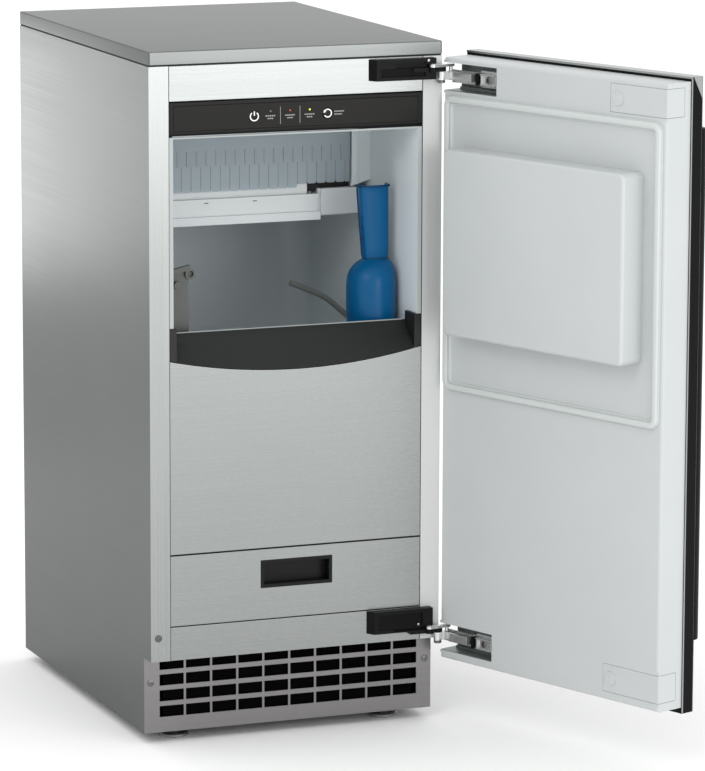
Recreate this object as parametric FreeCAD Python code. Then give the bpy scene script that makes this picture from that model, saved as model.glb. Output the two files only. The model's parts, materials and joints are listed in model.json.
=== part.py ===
import FreeCAD, Part
import math
import os

# Under-counter ice maker: 15 in cabinet with its door open on the right.
# All sizes in mm.  +X right, +Y to the back, +Z up; the origin is on the floor
# at the middle of the cabinet footprint.

V = FreeCAD.Vector
X_AXIS = V(1, 0, 0)
Y_AXIS = V(0, 1, 0)
Z_AXIS = V(0, 0, 1)

# ---- overall sizes -------------------------------------------------------
CABINET_WIDTH = 378.0     # across the side panels
CABINET_DEPTH = 505.0     # front flanges to back panel
WORKTOP_TOP = 854.0       # floor to worktop with the feet wound in
FOOT_HEIGHT = 14.0        # floor to the underside of the base

# ---- sheet metal and gaps ------------------------------------------------
SHEET = 1.2               # stainless sheet
WALL = 3.0                # moulded plastic wall
LINER_WALL = 2.0          # bin liner wall
PANEL_GAP = 0.6           # gap beside each front panel
RUN_FIT = 0.05            # radial clearance of a turning or sliding fit
CLEAR = 0.4               # clearance between parts that pass each other

# ---- front of the cabinet, heights measured down from the worktop ---------
WORKTOP_THICK = 16.0      # folded edge of the worktop
TOP_SEAL = 2.0            # black seal under the worktop
FLANGE = 25.0             # front flange of each side panel
FLANGE_RETURN = 12.0      # depth of the flange return
HEADER_DROP = 60.5        # worktop top to the header's lower edge
CONTROL_GAP = 1.2         # header to control panel
CONTROL_HEIGHT = 42.1     # control panel
SILL_DROP = 335.5         # worktop top to the top of the sill's cheeks
LIP_DROP = 346.0          # worktop top to the sill's lip
ARC_END_DROP = 374.6      # worktop top to the ends of the sill's lower arc
ARC_MID_DROP = 393.0      # worktop top to the middle of the arc

# ---- front of the cabinet, heights measured up from the floor -------------
KICK_TOP = 109.0          # top of the toe-kick recess
KICK_SETBACK = 25.0       # kick plate behind the front flanges
STRIP_TOP = 150.4         # bottom strip
SERVICE_BOTTOM = 151.7    # service panel
SERVICE_TOP = 238.8
FRONT_PANEL_BOTTOM = 240.5
SERVICE_DEPTH = 14.0      # folded edge of the service panel

# ---- kick plate grille ---------------------------------------------------
GRILLE_COLUMNS = 10
GRILLE_ROWS = 4
SLOT_WIDTH = 30.6
SLOT_PITCH = 34.2
SLOT_HEIGHT = 13.9
ROW_PITCH = 19.8
LOWEST_ROW = 40.0         # floor to the lowest row's middle
SCREW_HEAD_R = 4.2
SCREW_HEAD_H = 2.0
SCREW_SHANK_R = 2.0
SCREW_LENGTH = 9.0
KICK_SCREW_X = 181.0 - 189.0   # from the outside of the side panel
KICK_SCREW_Z = 77.0
FLANGE_SCREW_X = -9.6          # from the outside of the left side panel
FLANGE_SCREW_Z = 138.2

# ---- control panel -------------------------------------------------------
LENS_INSET_X = 6.0
LENS_INSET_TOP = 5.0
LENS_INSET_BOTTOM = 7.0
LENS_THICK = 2.0
HOUSING_DEPTH = 30.0
BUTTON_R = 6.6
BUTTON_LENGTH = 5.0
BUTTON_TRAVEL = 1.2
POWER_X = -54.8
CLEAN_X = 39.8
BUTTON_DROP = 82.5        # worktop top to the button centres
LIGHT_X = (-33.9, -8.4, 16.5)
LIGHT_DROP = 77.0
LIGHT_R = 2.0
BOARD_SETBACK = 9.0       # front plane to the circuit board
BOARD_THICK = 1.6
BOARD_HALF = 105.0

# ---- bin and insulation ----------------------------------------------------
BIN_FLOOR = 270.0         # floor to the underside of the liner floor
BIN_CEILING_DROP = 46.0   # worktop top to the liner ceiling
BIN_DEPTH = 360.0         # inside, front to back
BIN_FRONT = 32.0          # front plane to the liner's front wall
BIN_SIDE = 29.0           # side panel outside to liner outside
BIN_CORNER = 30.0         # radius of the rear corners
REAR_FOAM = 48.0
DRAIN_R = 8.0
DRAIN_Y = 200.0           # front plane to the bin drain

# ---- feet ------------------------------------------------------------------
FOOT_R = 18.0
FOOT_DISC = 6.0
FOOT_HUB_R = 9.0
FOOT_HUB = 6.0
STUD_R = 5.0
STUD_TOP = 34.0
BOSS_R = 10.0
BOSS_TOP = 38.0
FOOT_INSET_X = 50.0       # side panel to foot centre
FOOT_INSET_FRONT = 60.0
FOOT_INSET_REAR = 25.0

# ---- door, in its closed position -----------------------------------------
DOOR_GAP = 12.0           # front plane to the door's inner face
DOOR_OPEN = 111.0         # opening angle, degrees
PIVOT_X = -3.4            # pivot from the outside of the right side panel
PIVOT_Y = 6.0             # pivot in front of the front plane
LINER_INSET = 1.5         # door liner inside the skin, each side
DOOR_LINER_DEPTH = 40.0
DOOR_FRAME_DEPTH = 17.6
DOOR_FRAME_WIDTH = 10.0
DOOR_LINER_TOP_DROP = 19.9
DOOR_LINER_BOTTOM = 83.7
DOOR_SKIN_TOP_DROP = 14.8
DOOR_SKIN_BOTTOM = 75.8
PLUG_HALF = 152.5         # raised block on the inner face
PLUG_DEPTH = 35.0
PLUG_TOP_DROP = 126.0
PLUG_HEIGHT = 228.0
GASKET_HALF = 184.0
GASKET_WIDTH = 13.0
GASKET_TOP_DROP = 63.8
GASKET_HEIGHT = 367.0
GASKET_FREE = 0.4         # gasket face to front plane, closed
HANDLE_R = 11.0
HANDLE_TOP_DROP = 82.0
HANDLE_BOTTOM = 152.0
HANDLE_STANDOFF = 36.2    # skin to the bar's centreline
HANDLE_INSET = 42.5       # free edge to the bar's centreline
POST_R = 8.0
POST_INSET = 62.0

# ---- hinges ----------------------------------------------------------------
UPPER_HINGE_DROP = 43.2   # worktop top to the upper pocket's middle
LOWER_HINGE_Z = 111.2     # floor to the lower pocket's middle
POCKET_LENGTH = 91.7
POCKET_HEIGHT = 34.5
POCKET_DEPTH = 30.0
BRACKET_LENGTH = 84.5
BRACKET_PROUD = 11.0
BRACKET_SLOPE = 6.5
UPPER_BRACKET = (-2.4, 23.6)   # below and above the pocket's middle
LOWER_BRACKET = (10.5, 38.8)
LUG_LOW = 6.8
LUG_HIGH = 12.0
LUG_R = 5.7
PIN_R = 2.5
KNUCKLE_R = 5.0
ARM_LOW = -4.0
ARM_HIGH = 6.3
LINK_LOW = 12.4
LINK_HIGH = 15.4
LINK_PIVOT = (-13.0, -5.0)     # second pin from the main pin
LINK_LENGTH = 26.0
LINK_HALF = 4.5
LINK_CLOSED = -166.0           # direction of the link, door closed
LINK_RATIO = 1.6               # link turn for each degree of door
FOLLOWER_R = 2.2
TRACK_T = 5.35                 # link track behind the door's inner face
TRACK_HALF = 2.9
TRACK_END = 43.0
ARM_LENGTH = 47.0
BASE_END = 84.0
BASE_HALF = 8.0

# ---- ice machine in the top of the bin ------------------------------------
CURTAIN_Y = 160.0         # front plane to the curtain rod
ROD_R = 3.0
ROD_DROP = 102.0          # worktop top to the rod
CURTAIN_LAYER = 1.2
CURTAIN_RIGHT = 26.5      # liner's right wall to the curtain's end
CURTAIN_LEFT = 8.0
FRONT_STRIPS_DROP = 163.0
REAR_STRIPS_DROP = 195.0
SLIT_TOP_DROP = 143.5
STRIP_PITCH = 12.6
SLIT = 0.8
EVAP_DROP = 79.0          # worktop top to the evaporator plate
EVAP_DEPTH = 154.0
CUP_R = 13.0
CUP_WALL = 1.0
CUP_HEIGHT = 22.0
CUP_COLUMNS = 6
CUP_ROWS = 4
COIL_R = 4.5
PUMP_BAY = 44.0           # room for the pump at the right end
SUMP_DROP = 204.0         # worktop top to the sump rim
SUMP_HEIGHT = 32.5
SPRAY_DROP = 174.0
SPRAY_R = 7.0
PROBE_R = 2.6
PROBE_Y = 221.0

# ---- scoop -----------------------------------------------------------------
SCOOP_Y = 72.0            # front plane to the scoop's middle
SCOOP_X = -32.5           # liner's right wall to the scoop's middle
SCOOP_TOP_DROP = 182.5
SCOOP_NECK_DROP = 275.0
SCOOP_BOTTOM_DROP = 418.0
SCOOP_R = 31.5
SCOOP_WALL = 2.2

# ---- machine compartment ---------------------------------------------------
COMPRESSOR_R = 62.0
COMPRESSOR_H = 140.0
CONDENSER_W = 160.0
CONDENSER_H = 150.0
CONDENSER_D = 40.0
FAN_R = 60.0
SHROUD_R = 64.0
FAN_HUB_R = 18.0
SHAFT_R = 3.0
INLET_R = 9.0
INLET_BORE_R = 4.8        # takes a 3/8 in tube
DRAIN_STUB_R = 8.5
DRAIN_BORE_R = 6.05       # takes a 12 mm tube
PIPE_R = 4.0
HOSE_R = 5.0

# ---- derived positions -----------------------------------------------------
HALF = CABINET_WIDTH / 2
FRONT = -CABINET_DEPTH / 2
BACK = CABINET_DEPTH / 2
BODY_TOP = WORKTOP_TOP - WORKTOP_THICK - TOP_SEAL
PANEL_HALF = HALF - FLANGE - PANEL_GAP
CONTROL_TOP = WORKTOP_TOP - HEADER_DROP - CONTROL_GAP
CONTROL_BOTTOM = CONTROL_TOP - CONTROL_HEIGHT
SILL_TOP = WORKTOP_TOP - SILL_DROP
LIP_TOP = WORKTOP_TOP - LIP_DROP
ARC_END = WORKTOP_TOP - ARC_END_DROP
ARC_MID = WORKTOP_TOP - ARC_MID_DROP
KICK_Y = FRONT + KICK_SETBACK
LINER_OUT = HALF - BIN_SIDE
LINER_IN = LINER_OUT - LINER_WALL
BIN_CEILING = WORKTOP_TOP - BIN_CEILING_DROP
BIN_BACK = FRONT + BIN_FRONT + LINER_WALL + BIN_DEPTH
FOAM_BACK = BIN_BACK + LINER_WALL + REAR_FOAM
CHASE_Y = (FOAM_BACK + BACK - SHEET) / 2
DOOR_FACE = FRONT - DOOR_GAP
DOOR_HALF = HALF - LINER_INSET
PIVOT = V(HALF + PIVOT_X, FRONT - PIVOT_Y, 0)
LINK_PIN = PIVOT + V(LINK_PIVOT[0], LINK_PIVOT[1], 0)
UPPER_HINGE_Z = WORKTOP_TOP - UPPER_HINGE_DROP
DOOR_LINER_TOP = WORKTOP_TOP - DOOR_LINER_TOP_DROP
DOOR_SKIN_TOP = WORKTOP_TOP - DOOR_SKIN_TOP_DROP
SKIN_OUT = DOOR_LINER_DEPTH + DOOR_FRAME_DEPTH + SHEET
ROD_Y = FRONT + CURTAIN_Y
ROD_Z = WORKTOP_TOP - ROD_DROP
CURTAIN_X0 = -LINER_IN + CURTAIN_LEFT
CURTAIN_X1 = LINER_IN - CURTAIN_RIGHT
WELL_X0 = CURTAIN_X1 - PUMP_BAY + 2.0
EVAP_Z = WORKTOP_TOP - EVAP_DROP
SUMP_TOP = WORKTOP_TOP - SUMP_DROP
SUMP_BOTTOM = SUMP_TOP - SUMP_HEIGHT
SPRAY_Z = WORKTOP_TOP - SPRAY_DROP
SPRAY_Y = FRONT + CURTAIN_Y + 90.0
DRAIN_AT = V(0, FRONT + DRAIN_Y, 0)
FAN_X = -(HALF - SHEET - 22.8 - CONDENSER_W / 2)
FAN_Z = FOOT_HEIGHT + 10.0 + CONDENSER_H / 2
SUCTION_Z = EVAP_Z + COIL_R
VALVE_X = -(HALF - 84.0)
WATER_Z = SUMP_TOP - 12.0


# ---- small helpers ---------------------------------------------------------
def box(x0, x1, y0, y1, z0, z1):
    """A box between two corners, given in any order."""
    low = V(min(x0, x1), min(y0, y1), min(z0, z1))
    size = V(abs(x1 - x0), abs(y1 - y0), abs(z1 - z0))
    return Part.makeBox(size.x, size.y, size.z, low)


def rod(radius, start, end):
    """A round bar between two points."""
    span = end - start
    return Part.makeCylinder(radius, span.Length, start, span)


def drum(radius, x, y, z0, z1):
    """An upright cylinder."""
    return Part.makeCylinder(radius, z1 - z0, V(x, y, z0), Z_AXIS)


def pipe(radius, points):
    """A round pipe through the points, with ball joints at the bends."""
    pieces = [rod(radius, a, b) for a, b in zip(points, points[1:])]
    pieces += [Part.makeSphere(radius, p) for p in points[1:-1]]
    return join(pieces)


def join(shapes):
    """One shape fused from several that meet."""
    result = shapes[0]
    if len(shapes) > 1:
        result = shapes[0].multiFuse(shapes[1:])
    return result.removeSplitter()


def prism(points, depth):
    """A flat polygon pushed along a direction."""
    wire = Part.makePolygon(points + [points[0]])
    return Part.Face(wire).extrude(depth)


def mirrored(shape):
    """The shape on the other side of the cabinet's middle plane."""
    return shape.mirror(V(0, 0, 0), X_AXIS)


def rounded(shape, radius, picks):
    """The shape with a fillet on each edge that the test picks."""
    edges = [e for e in shape.Edges if picks(e)]
    return shape.makeFillet(radius, edges)


def upright(edge):
    """True for an edge that runs straight up."""
    size = edge.BoundBox
    return size.XLength < 1e-3 and size.YLength < 1e-3


def at_y(edge, y):
    """True for an edge that lies in the plane at y."""
    return all(abs(v.Point.y - y) < 1e-6 for v in edge.Vertexes)


def swing(shape):
    """A door part moved from the closed to the open position."""
    turned = shape.copy()
    turned.rotate(PIVOT, Z_AXIS, DOOR_OPEN)
    return turned


def door_box(s0, s1, t0, t1, z0, z1):
    """A box on the closed door: s from the hinge edge, t from the inner face."""
    x0 = DOOR_HALF - s0
    x1 = DOOR_HALF - s1
    return box(x0, x1, DOOR_FACE - t0, DOOR_FACE - t1, z0, z1)


# ---- cabinet ---------------------------------------------------------------
def worktop():
    outer = box(-HALF, HALF, FRONT, BACK, WORKTOP_TOP - WORKTOP_THICK, WORKTOP_TOP)
    outer = rounded(outer, 1.5, lambda e: upright(e) or e.BoundBox.ZMin > WORKTOP_TOP - 0.1)
    inner = box(
        -HALF + SHEET, HALF - SHEET, FRONT + SHEET, BACK - SHEET,
        WORKTOP_TOP - WORKTOP_THICK, WORKTOP_TOP - SHEET,
    )
    return outer.cut(inner)


def top_seal():
    z0 = BODY_TOP
    outer = box(-HALF + 1, HALF - 1, FRONT + 1, BACK - 1, z0, z0 + TOP_SEAL)
    inner = box(-HALF + 11, HALF - 11, FRONT + 11, BACK - 11, z0, z0 + TOP_SEAL)
    return outer.cut(inner)


def side_panel_right():
    lower_front = KICK_Y + SHEET
    skin = box(HALF - SHEET, HALF, FRONT, BACK, KICK_TOP, BODY_TOP)
    skirt = box(HALF - SHEET, HALF, lower_front, BACK, FOOT_HEIGHT, KICK_TOP)
    flange = box(HALF - FLANGE, HALF, FRONT, FRONT + SHEET, KICK_TOP, BODY_TOP)
    fold = box(
        HALF - FLANGE, HALF - FLANGE + SHEET, FRONT, FRONT + FLANGE_RETURN,
        KICK_TOP, BODY_TOP,
    )
    tab = box(HALF - 16, HALF, lower_front, lower_front + SHEET, FOOT_HEIGHT, KICK_TOP)
    panel = join([skin, skirt, flange, fold, tab])
    for hole in screw_shanks():
        panel = panel.cut(hole)
    return panel


def side_panel_left():
    panel = mirrored(side_panel_right())
    for hole in screw_shanks():
        panel = panel.cut(hole)
    return panel


def back_panel():
    plate = box(
        -HALF + SHEET, HALF - SHEET, BACK - SHEET, BACK, FOOT_HEIGHT + 2, BODY_TOP,
    )
    plate = plate.cut(rod(INLET_R, V(VALVE_X, BACK - 5, 85), V(VALVE_X, BACK + 5, 85)))
    plate = plate.cut(rod(DRAIN_STUB_R, V(-60, BACK - 5, 50), V(-60, BACK + 5, 50)))
    plate = plate.cut(rod(8.0, V(10, BACK - 5, 60), V(10, BACK + 5, 60)))
    return plate


def foot_places():
    x = HALF - FOOT_INSET_X
    y0 = FRONT + FOOT_INSET_FRONT
    y1 = BACK - FOOT_INSET_REAR
    return {
        "front_left": (-x, y0),
        "front_right": (x, y0),
        "rear_left": (-x, y1),
        "rear_right": (x, y1),
    }


def base_pan():
    y0 = KICK_Y + 2 * SHEET
    y1 = BACK - SHEET
    x1 = HALF - SHEET
    z0 = FOOT_HEIGHT
    tray = box(-x1, x1, y0, y1, z0, z0 + 14)
    hollow = box(-x1 + 2, x1 - 2, y0 + 2, y1 - 2, z0 + 2, z0 + 15)
    pan = tray.cut(hollow)
    bosses = [drum(BOSS_R, x, y, z0, BOSS_TOP) for x, y in foot_places().values()]
    pan = join([pan] + bosses)
    for x, y in foot_places().values():
        pan = pan.cut(drum(STUD_R + RUN_FIT, x, y, 0, BOSS_TOP + 1))
    return pan.cut(box(-HALF, HALF, y1 - 3, y1 + 1, z0 + 2, z0 + 15))


def levelling_foot(place):
    x, y = foot_places()[place]
    disc = drum(FOOT_R, x, y, 0, FOOT_DISC)
    disc = rounded(disc, 1.5, lambda e: e.BoundBox.ZMin > FOOT_DISC - 0.1)
    hub = drum(FOOT_HUB_R, x, y, FOOT_DISC, FOOT_DISC + FOOT_HUB)
    stud = drum(STUD_R, x, y, FOOT_DISC, STUD_TOP)
    return join([disc, hub, stud])


def header_panel():
    z0 = WORKTOP_TOP - HEADER_DROP
    outer = box(-PANEL_HALF, PANEL_HALF, FRONT, FRONT + 20, z0, BODY_TOP)
    inner = box(
        -PANEL_HALF - 1, PANEL_HALF + 1, FRONT + SHEET, FRONT + 21,
        z0 + SHEET, BODY_TOP - SHEET,
    )
    return outer.cut(inner)


# ---- control panel ---------------------------------------------------------
def lens_box(y0, y1, grow):
    return box(
        -PANEL_HALF + LENS_INSET_X - grow, PANEL_HALF - LENS_INSET_X + grow, y0, y1,
        CONTROL_BOTTOM + LENS_INSET_BOTTOM - grow, CONTROL_TOP - LENS_INSET_TOP + grow,
    )


def control_housing():
    outer = box(
        -PANEL_HALF, PANEL_HALF, FRONT, FRONT + HOUSING_DEPTH,
        CONTROL_BOTTOM, CONTROL_TOP,
    )
    low_edge = CONTROL_BOTTOM + 0.1
    outer = rounded(outer, 5.0, lambda e: at_y(e, FRONT) and e.BoundBox.ZMax < low_edge)
    outer = outer.cut(lens_box(FRONT - 1, FRONT + LENS_THICK + 0.2, 0.0))
    cavity = lens_box(FRONT + LENS_THICK, FRONT + HOUSING_DEPTH - WALL, -2.0)
    return outer.cut(cavity)


def button_hole(x, radius):
    z = WORKTOP_TOP - BUTTON_DROP
    return rod(radius, V(x, FRONT - 1, z), V(x, FRONT + 5, z))


def control_fascia():
    lens = lens_box(FRONT + 0.2, FRONT + 0.2 + LENS_THICK, 0.0)
    for x in (POWER_X, CLEAN_X):
        lens = lens.cut(button_hole(x, BUTTON_R + 0.3))
    for light in light_solids():
        lens = lens.cut(light)
    return lens


def light_solids():
    z = WORKTOP_TOP - LIGHT_DROP
    y0 = FRONT + 0.1
    y1 = FRONT + BOARD_SETBACK
    return [rod(LIGHT_R, V(x, y0, z), V(x, y1, z)) for x in LIGHT_X]


def push_button(x):
    z = WORKTOP_TOP - BUTTON_DROP
    face = FRONT + 0.1
    cap = rod(BUTTON_R, V(x, face, z), V(x, face + BUTTON_LENGTH, z))
    return rounded(cap, 0.5, lambda e: at_y(e, face))


def control_board():
    z0 = CONTROL_BOTTOM + LENS_INSET_BOTTOM + 3
    z1 = CONTROL_TOP - LENS_INSET_TOP - 3
    y0 = FRONT + BOARD_SETBACK
    board = box(-BOARD_HALF, BOARD_HALF, y0, y0 + BOARD_THICK, z0, z1)
    zb = WORKTOP_TOP - BUTTON_DROP
    stop = FRONT + 0.1 + BUTTON_LENGTH + BUTTON_TRAVEL + 0.2
    switches = [box(x - 3, x + 3, stop, y0, zb - 3, zb + 3) for x in (POWER_X, CLEAN_X)]
    chips = [box(x, x + 14, y0 + BOARD_THICK, y0 + 5, z0 + 6, z0 + 20) for x in (-80, 60)]
    posts = [
        rod(3.0, V(x, y0 + BOARD_THICK, z0 + 12), V(x, FRONT + HOUSING_DEPTH - WALL, z0 + 12))
        for x in (-BOARD_HALF + 8, BOARD_HALF - 8)
    ]
    return join([board] + switches + chips + posts)


# ---- bin -------------------------------------------------------------------
def bin_block(grow):
    """The bin's volume: inside at grow 0, outside at grow LINER_WALL."""
    block = box(
        -LINER_IN - grow, LINER_IN + grow,
        FRONT + BIN_FRONT + LINER_WALL - grow, BIN_BACK + grow,
        BIN_FLOOR + LINER_WALL - grow, BIN_CEILING - LINER_WALL + grow,
    )
    back = BIN_BACK + grow
    radius = BIN_CORNER + grow
    return rounded(block, radius, lambda e: upright(e) and at_y(e, back))


def mouth_block(grow, y0):
    """The volume of the opening between the bin and the front plane."""
    return box(
        -LINER_IN - grow, LINER_IN + grow, y0, FRONT + BIN_FRONT + LINER_WALL + 1,
        SILL_TOP + CLEAR - (0 if grow else 20), CONTROL_BOTTOM - 0.2 - LINER_WALL + grow,
    )


def bin_liner():
    mouth = mouth_block(LINER_WALL, FRONT + SHEET)
    rim = box(
        -PANEL_HALF, PANEL_HALF, FRONT + SHEET, FRONT + SHEET + LINER_WALL,
        SILL_TOP + CLEAR, CONTROL_BOTTOM - 0.2,
    )
    shell = join([bin_block(LINER_WALL), mouth, rim])
    shell = shell.cut(bin_block(0))
    opening = box(
        -LINER_IN, LINER_IN, FRONT, FRONT + BIN_FRONT + LINER_WALL + 2,
        LIP_TOP - LINER_WALL, CONTROL_BOTTOM - 0.2 - LINER_WALL,
    )
    shell = shell.cut(opening)
    shell = shell.cut(drum(DRAIN_R, 0, DRAIN_AT.y, BIN_FLOOR - 1, BIN_FLOOR + 5))
    return cut_lines(shell, 0.0)


def cut_lines(shape, extra):
    """The shape with the holes that the pipes and hoses go through."""
    for line in refrigerant_pipes(PIPE_R + extra):
        shape = shape.cut(line)
    for line in hose_runs(HOSE_R + extra):
        shape = shape.cut(line)
    return shape


def cabinet_foam():
    x1 = HALF - SHEET
    y0 = FRONT + BIN_FRONT + 1
    main = box(-x1, x1, y0, FOAM_BACK, FRONT_PANEL_BOTTOM, BODY_TOP)
    crown = box(-HALF + 11, HALF - 11, y0, FOAM_BACK, BODY_TOP, WORKTOP_TOP - SHEET)
    low = FRONT_PANEL_BOTTOM + SHEET
    breast = box(-x1 + 26, x1 - 26, FRONT + SHEET, y0, low, ARC_MID - 8)
    foam = join([main, crown, breast])
    foam = foam.cut(bin_block(LINER_WALL))
    foam = foam.cut(mouth_block(LINER_WALL, FRONT))
    foam = foam.cut(sill_lip())
    return cut_lines(foam, 0.0)


def arc_cylinder(grow):
    """The large cylinder whose underside is the arc under the sill."""
    rise = ARC_END - ARC_MID
    radius = (PANEL_HALF ** 2 + rise ** 2) / (2 * rise)
    centre = ARC_MID + radius
    return Part.makeCylinder(radius + grow, 80, V(0, FRONT - 20, centre), Y_AXIS)


def sill_lip():
    y0 = FRONT + BIN_FRONT - 3
    y1 = FRONT + BIN_FRONT + LINER_WALL + 3
    return box(-LINER_IN + CLEAR, LINER_IN - CLEAR, y0, y1, LIP_TOP - LINER_WALL, LIP_TOP)


def sill_trim():
    back = FRONT + BIN_FRONT
    block = box(-PANEL_HALF, PANEL_HALF, FRONT, back, ARC_MID - 5, SILL_TOP)
    block = block.common(arc_cylinder(0.0))
    cheek = 9.0
    x1 = PANEL_HALF - cheek
    start = V(-x1, FRONT, ARC_END + 2)
    middle = V(-x1, FRONT + 21, ARC_END + 10)
    end = V(-x1, back - 2, LIP_TOP)
    edges = [
        Part.Arc(start, middle, end).toShape(),
        Part.makeLine(end, V(-x1, back - 2, SILL_TOP + 1)),
        Part.makeLine(V(-x1, back - 2, SILL_TOP + 1), V(-x1, FRONT, SILL_TOP + 1)),
        Part.makeLine(V(-x1, FRONT, SILL_TOP + 1), start),
    ]
    scoop = Part.Face(Part.Wire(edges)).extrude(V(2 * x1, 0, 0))
    block = block.cut(scoop)
    top = box(-x1, x1, FRONT, back + 1, LIP_TOP, SILL_TOP + 1)
    block = block.cut(top)
    return join([block, sill_lip()])


def folded_pan(x1, z0, z1, depth):
    """A front panel with folded edges, open at the back."""
    outer = box(-x1, x1, FRONT, FRONT + depth, z0, z1)
    inner = box(
        -x1 + SHEET, x1 - SHEET, FRONT + SHEET, FRONT + depth + 1, z0 + SHEET, z1 - SHEET,
    )
    return outer.cut(inner)


def front_panel():
    pan = folded_pan(PANEL_HALF, FRONT_PANEL_BOTTOM, SILL_TOP, 9.0)
    return pan.cut(arc_cylinder(0.8))


def grip_window(grow, y0, y1):
    return box(-44 - grow, 44 + grow, y0, y1, 193.2 - grow, 222.4 + grow)


def service_panel():
    pan = folded_pan(PANEL_HALF, SERVICE_BOTTOM, SERVICE_TOP, SERVICE_DEPTH)
    return pan.cut(grip_window(0.0, FRONT - 1, FRONT + 3))


def service_grip():
    rim = grip_window(2.8, FRONT - 0.8, FRONT)
    cup = grip_window(0.0, FRONT - 0.8, FRONT + 16)
    cup = cup.fuse(rim)
    hollow = grip_window(-1.6, FRONT - 2, FRONT + 14.4)
    return cup.cut(hollow).removeSplitter()


def bottom_strip():
    face = box(-PANEL_HALF, PANEL_HALF, FRONT, FRONT + SHEET, KICK_TOP, STRIP_TOP)
    shelf = box(-PANEL_HALF, PANEL_HALF, FRONT, KICK_Y, KICK_TOP, KICK_TOP + SHEET)
    upper = box(
        -PANEL_HALF, PANEL_HALF, FRONT, FRONT + 10, STRIP_TOP - SHEET, STRIP_TOP,
    )
    return join([face, shelf, upper])


def kick_plate():
    plate = box(-HALF, HALF, KICK_Y, KICK_Y + SHEET, FOOT_HEIGHT, KICK_TOP)
    reach = (GRILLE_COLUMNS - 1) * SLOT_PITCH / 2
    for column in range(GRILLE_COLUMNS):
        x = -reach + column * SLOT_PITCH
        for row in range(GRILLE_ROWS):
            z = LOWEST_ROW + row * ROW_PITCH
            plate = plate.cut(box(
                x - SLOT_WIDTH / 2, x + SLOT_WIDTH / 2, KICK_Y - 1, KICK_Y + SHEET + 1,
                z - SLOT_HEIGHT / 2, z + SLOT_HEIGHT / 2,
            ))
    for hole in screw_shanks():
        plate = plate.cut(hole)
    return plate


def screw_places():
    """Head centre of each front screw."""
    return [
        V(-HALF - KICK_SCREW_X, KICK_Y, KICK_SCREW_Z),
        V(HALF + KICK_SCREW_X, KICK_Y, KICK_SCREW_Z),
        V(-HALF - FLANGE_SCREW_X, FRONT, FLANGE_SCREW_Z),
    ]


def screw_shanks():
    return [rod(SCREW_SHANK_R, p, p + V(0, SCREW_LENGTH, 0)) for p in screw_places()]


def front_screws():
    screws = []
    for place in screw_places():
        head = rod(SCREW_HEAD_R, place - V(0, SCREW_HEAD_H, 0), place)
        face = place.y - SCREW_HEAD_H
        head = rounded(head, 1.2, lambda e: at_y(e, face))
        shank = rod(SCREW_SHANK_R, place, place + V(0, SCREW_LENGTH, 0))
        screws.append(join([head, shank]))
    return Part.makeCompound(screws)


# ---- hinges ----------------------------------------------------------------
def hinge_bracket(zc, span):
    x1 = PIVOT.x - 8.6
    x0 = x1 - BRACKET_LENGTH
    z0 = zc + span[0]
    z1 = zc + span[1]
    outline = [
        V(x0, FRONT, z0),
        V(x0 + BRACKET_SLOPE, FRONT - BRACKET_PROUD, z0),
        V(x1, FRONT - BRACKET_PROUD, z0),
        V(x1, FRONT, z0),
    ]
    body = prism(outline, V(0, 0, z1 - z0))
    recess = box(
        x0 + 12, x1 - 14, FRONT - BRACKET_PROUD - 1, FRONT - BRACKET_PROUD + 2.5,
        z0 + 4.5, z1 - 4.5,
    )
    body = body.cut(recess)
    low = zc + LUG_LOW
    high = zc + LUG_HIGH
    web = box(x1 - 30, PIVOT.x, PIVOT.y - LUG_R + 0.7, FRONT - 0.3, low, high)
    neck = box(x1 - 30, x1, FRONT - BRACKET_PROUD, FRONT, low, high)
    eye = drum(LUG_R, PIVOT.x, PIVOT.y, low, high)
    ear = drum(LUG_R, LINK_PIN.x, LINK_PIN.y, low, high)
    bracket = join([body, neck, web, eye, ear])
    notch = box(
        PIVOT.x - 60, HALF + 20, FRONT - 30, LINK_PIN.y + LINK_HALF + 1.6,
        zc + LUG_HIGH, zc + LINK_HIGH + 1.4,
    )
    bracket = bracket.cut(notch)
    for pin in pins_of(zc):
        bracket = bracket.cut(pin)
    return bracket


def pins_of(zc):
    main = drum(PIN_R, PIVOT.x, PIVOT.y, zc + ARM_LOW, zc + LUG_HIGH)
    second = drum(PIN_R, LINK_PIN.x, LINK_PIN.y, zc + LUG_LOW, zc + LINK_HIGH + CLEAR)
    head = drum(
        LINK_HALF - 0.7, LINK_PIN.x, LINK_PIN.y,
        zc + LINK_HIGH + CLEAR, zc + LINK_HIGH + CLEAR + 0.8,
    )
    return [main, join([second, head])]


def hinge_pins():
    return Part.makeCompound(pins_of(UPPER_HINGE_Z) + pins_of(LOWER_HINGE_Z))


def hinge_link(zc):
    """The link with the door closed, then turned to the open position."""
    a = math.radians(LINK_CLOSED)
    tip = LINK_PIN + V(math.cos(a), math.sin(a), 0) * LINK_LENGTH
    low = zc + LINK_LOW
    high = zc + LINK_HIGH
    bar = box(0, LINK_LENGTH, -LINK_HALF, LINK_HALF, low, high)
    bar.rotate(V(0, 0, 0), Z_AXIS, LINK_CLOSED)
    bar.translate(V(LINK_PIN.x, LINK_PIN.y, 0))
    ends = [drum(LINK_HALF, p.x, p.y, low, high) for p in (LINK_PIN, tip)]
    follower = drum(FOLLOWER_R, tip.x, tip.y, zc - 1, high)
    link = join([bar, follower] + ends)
    link = link.cut(drum(PIN_R + RUN_FIT, LINK_PIN.x, LINK_PIN.y, low - 1, high + 1))
    link.rotate(LINK_PIN, Z_AXIS, DOOR_OPEN * LINK_RATIO)
    return link


def hinge_links():
    return Part.makeCompound([hinge_link(UPPER_HINGE_Z), hinge_link(LOWER_HINGE_Z)])


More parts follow.
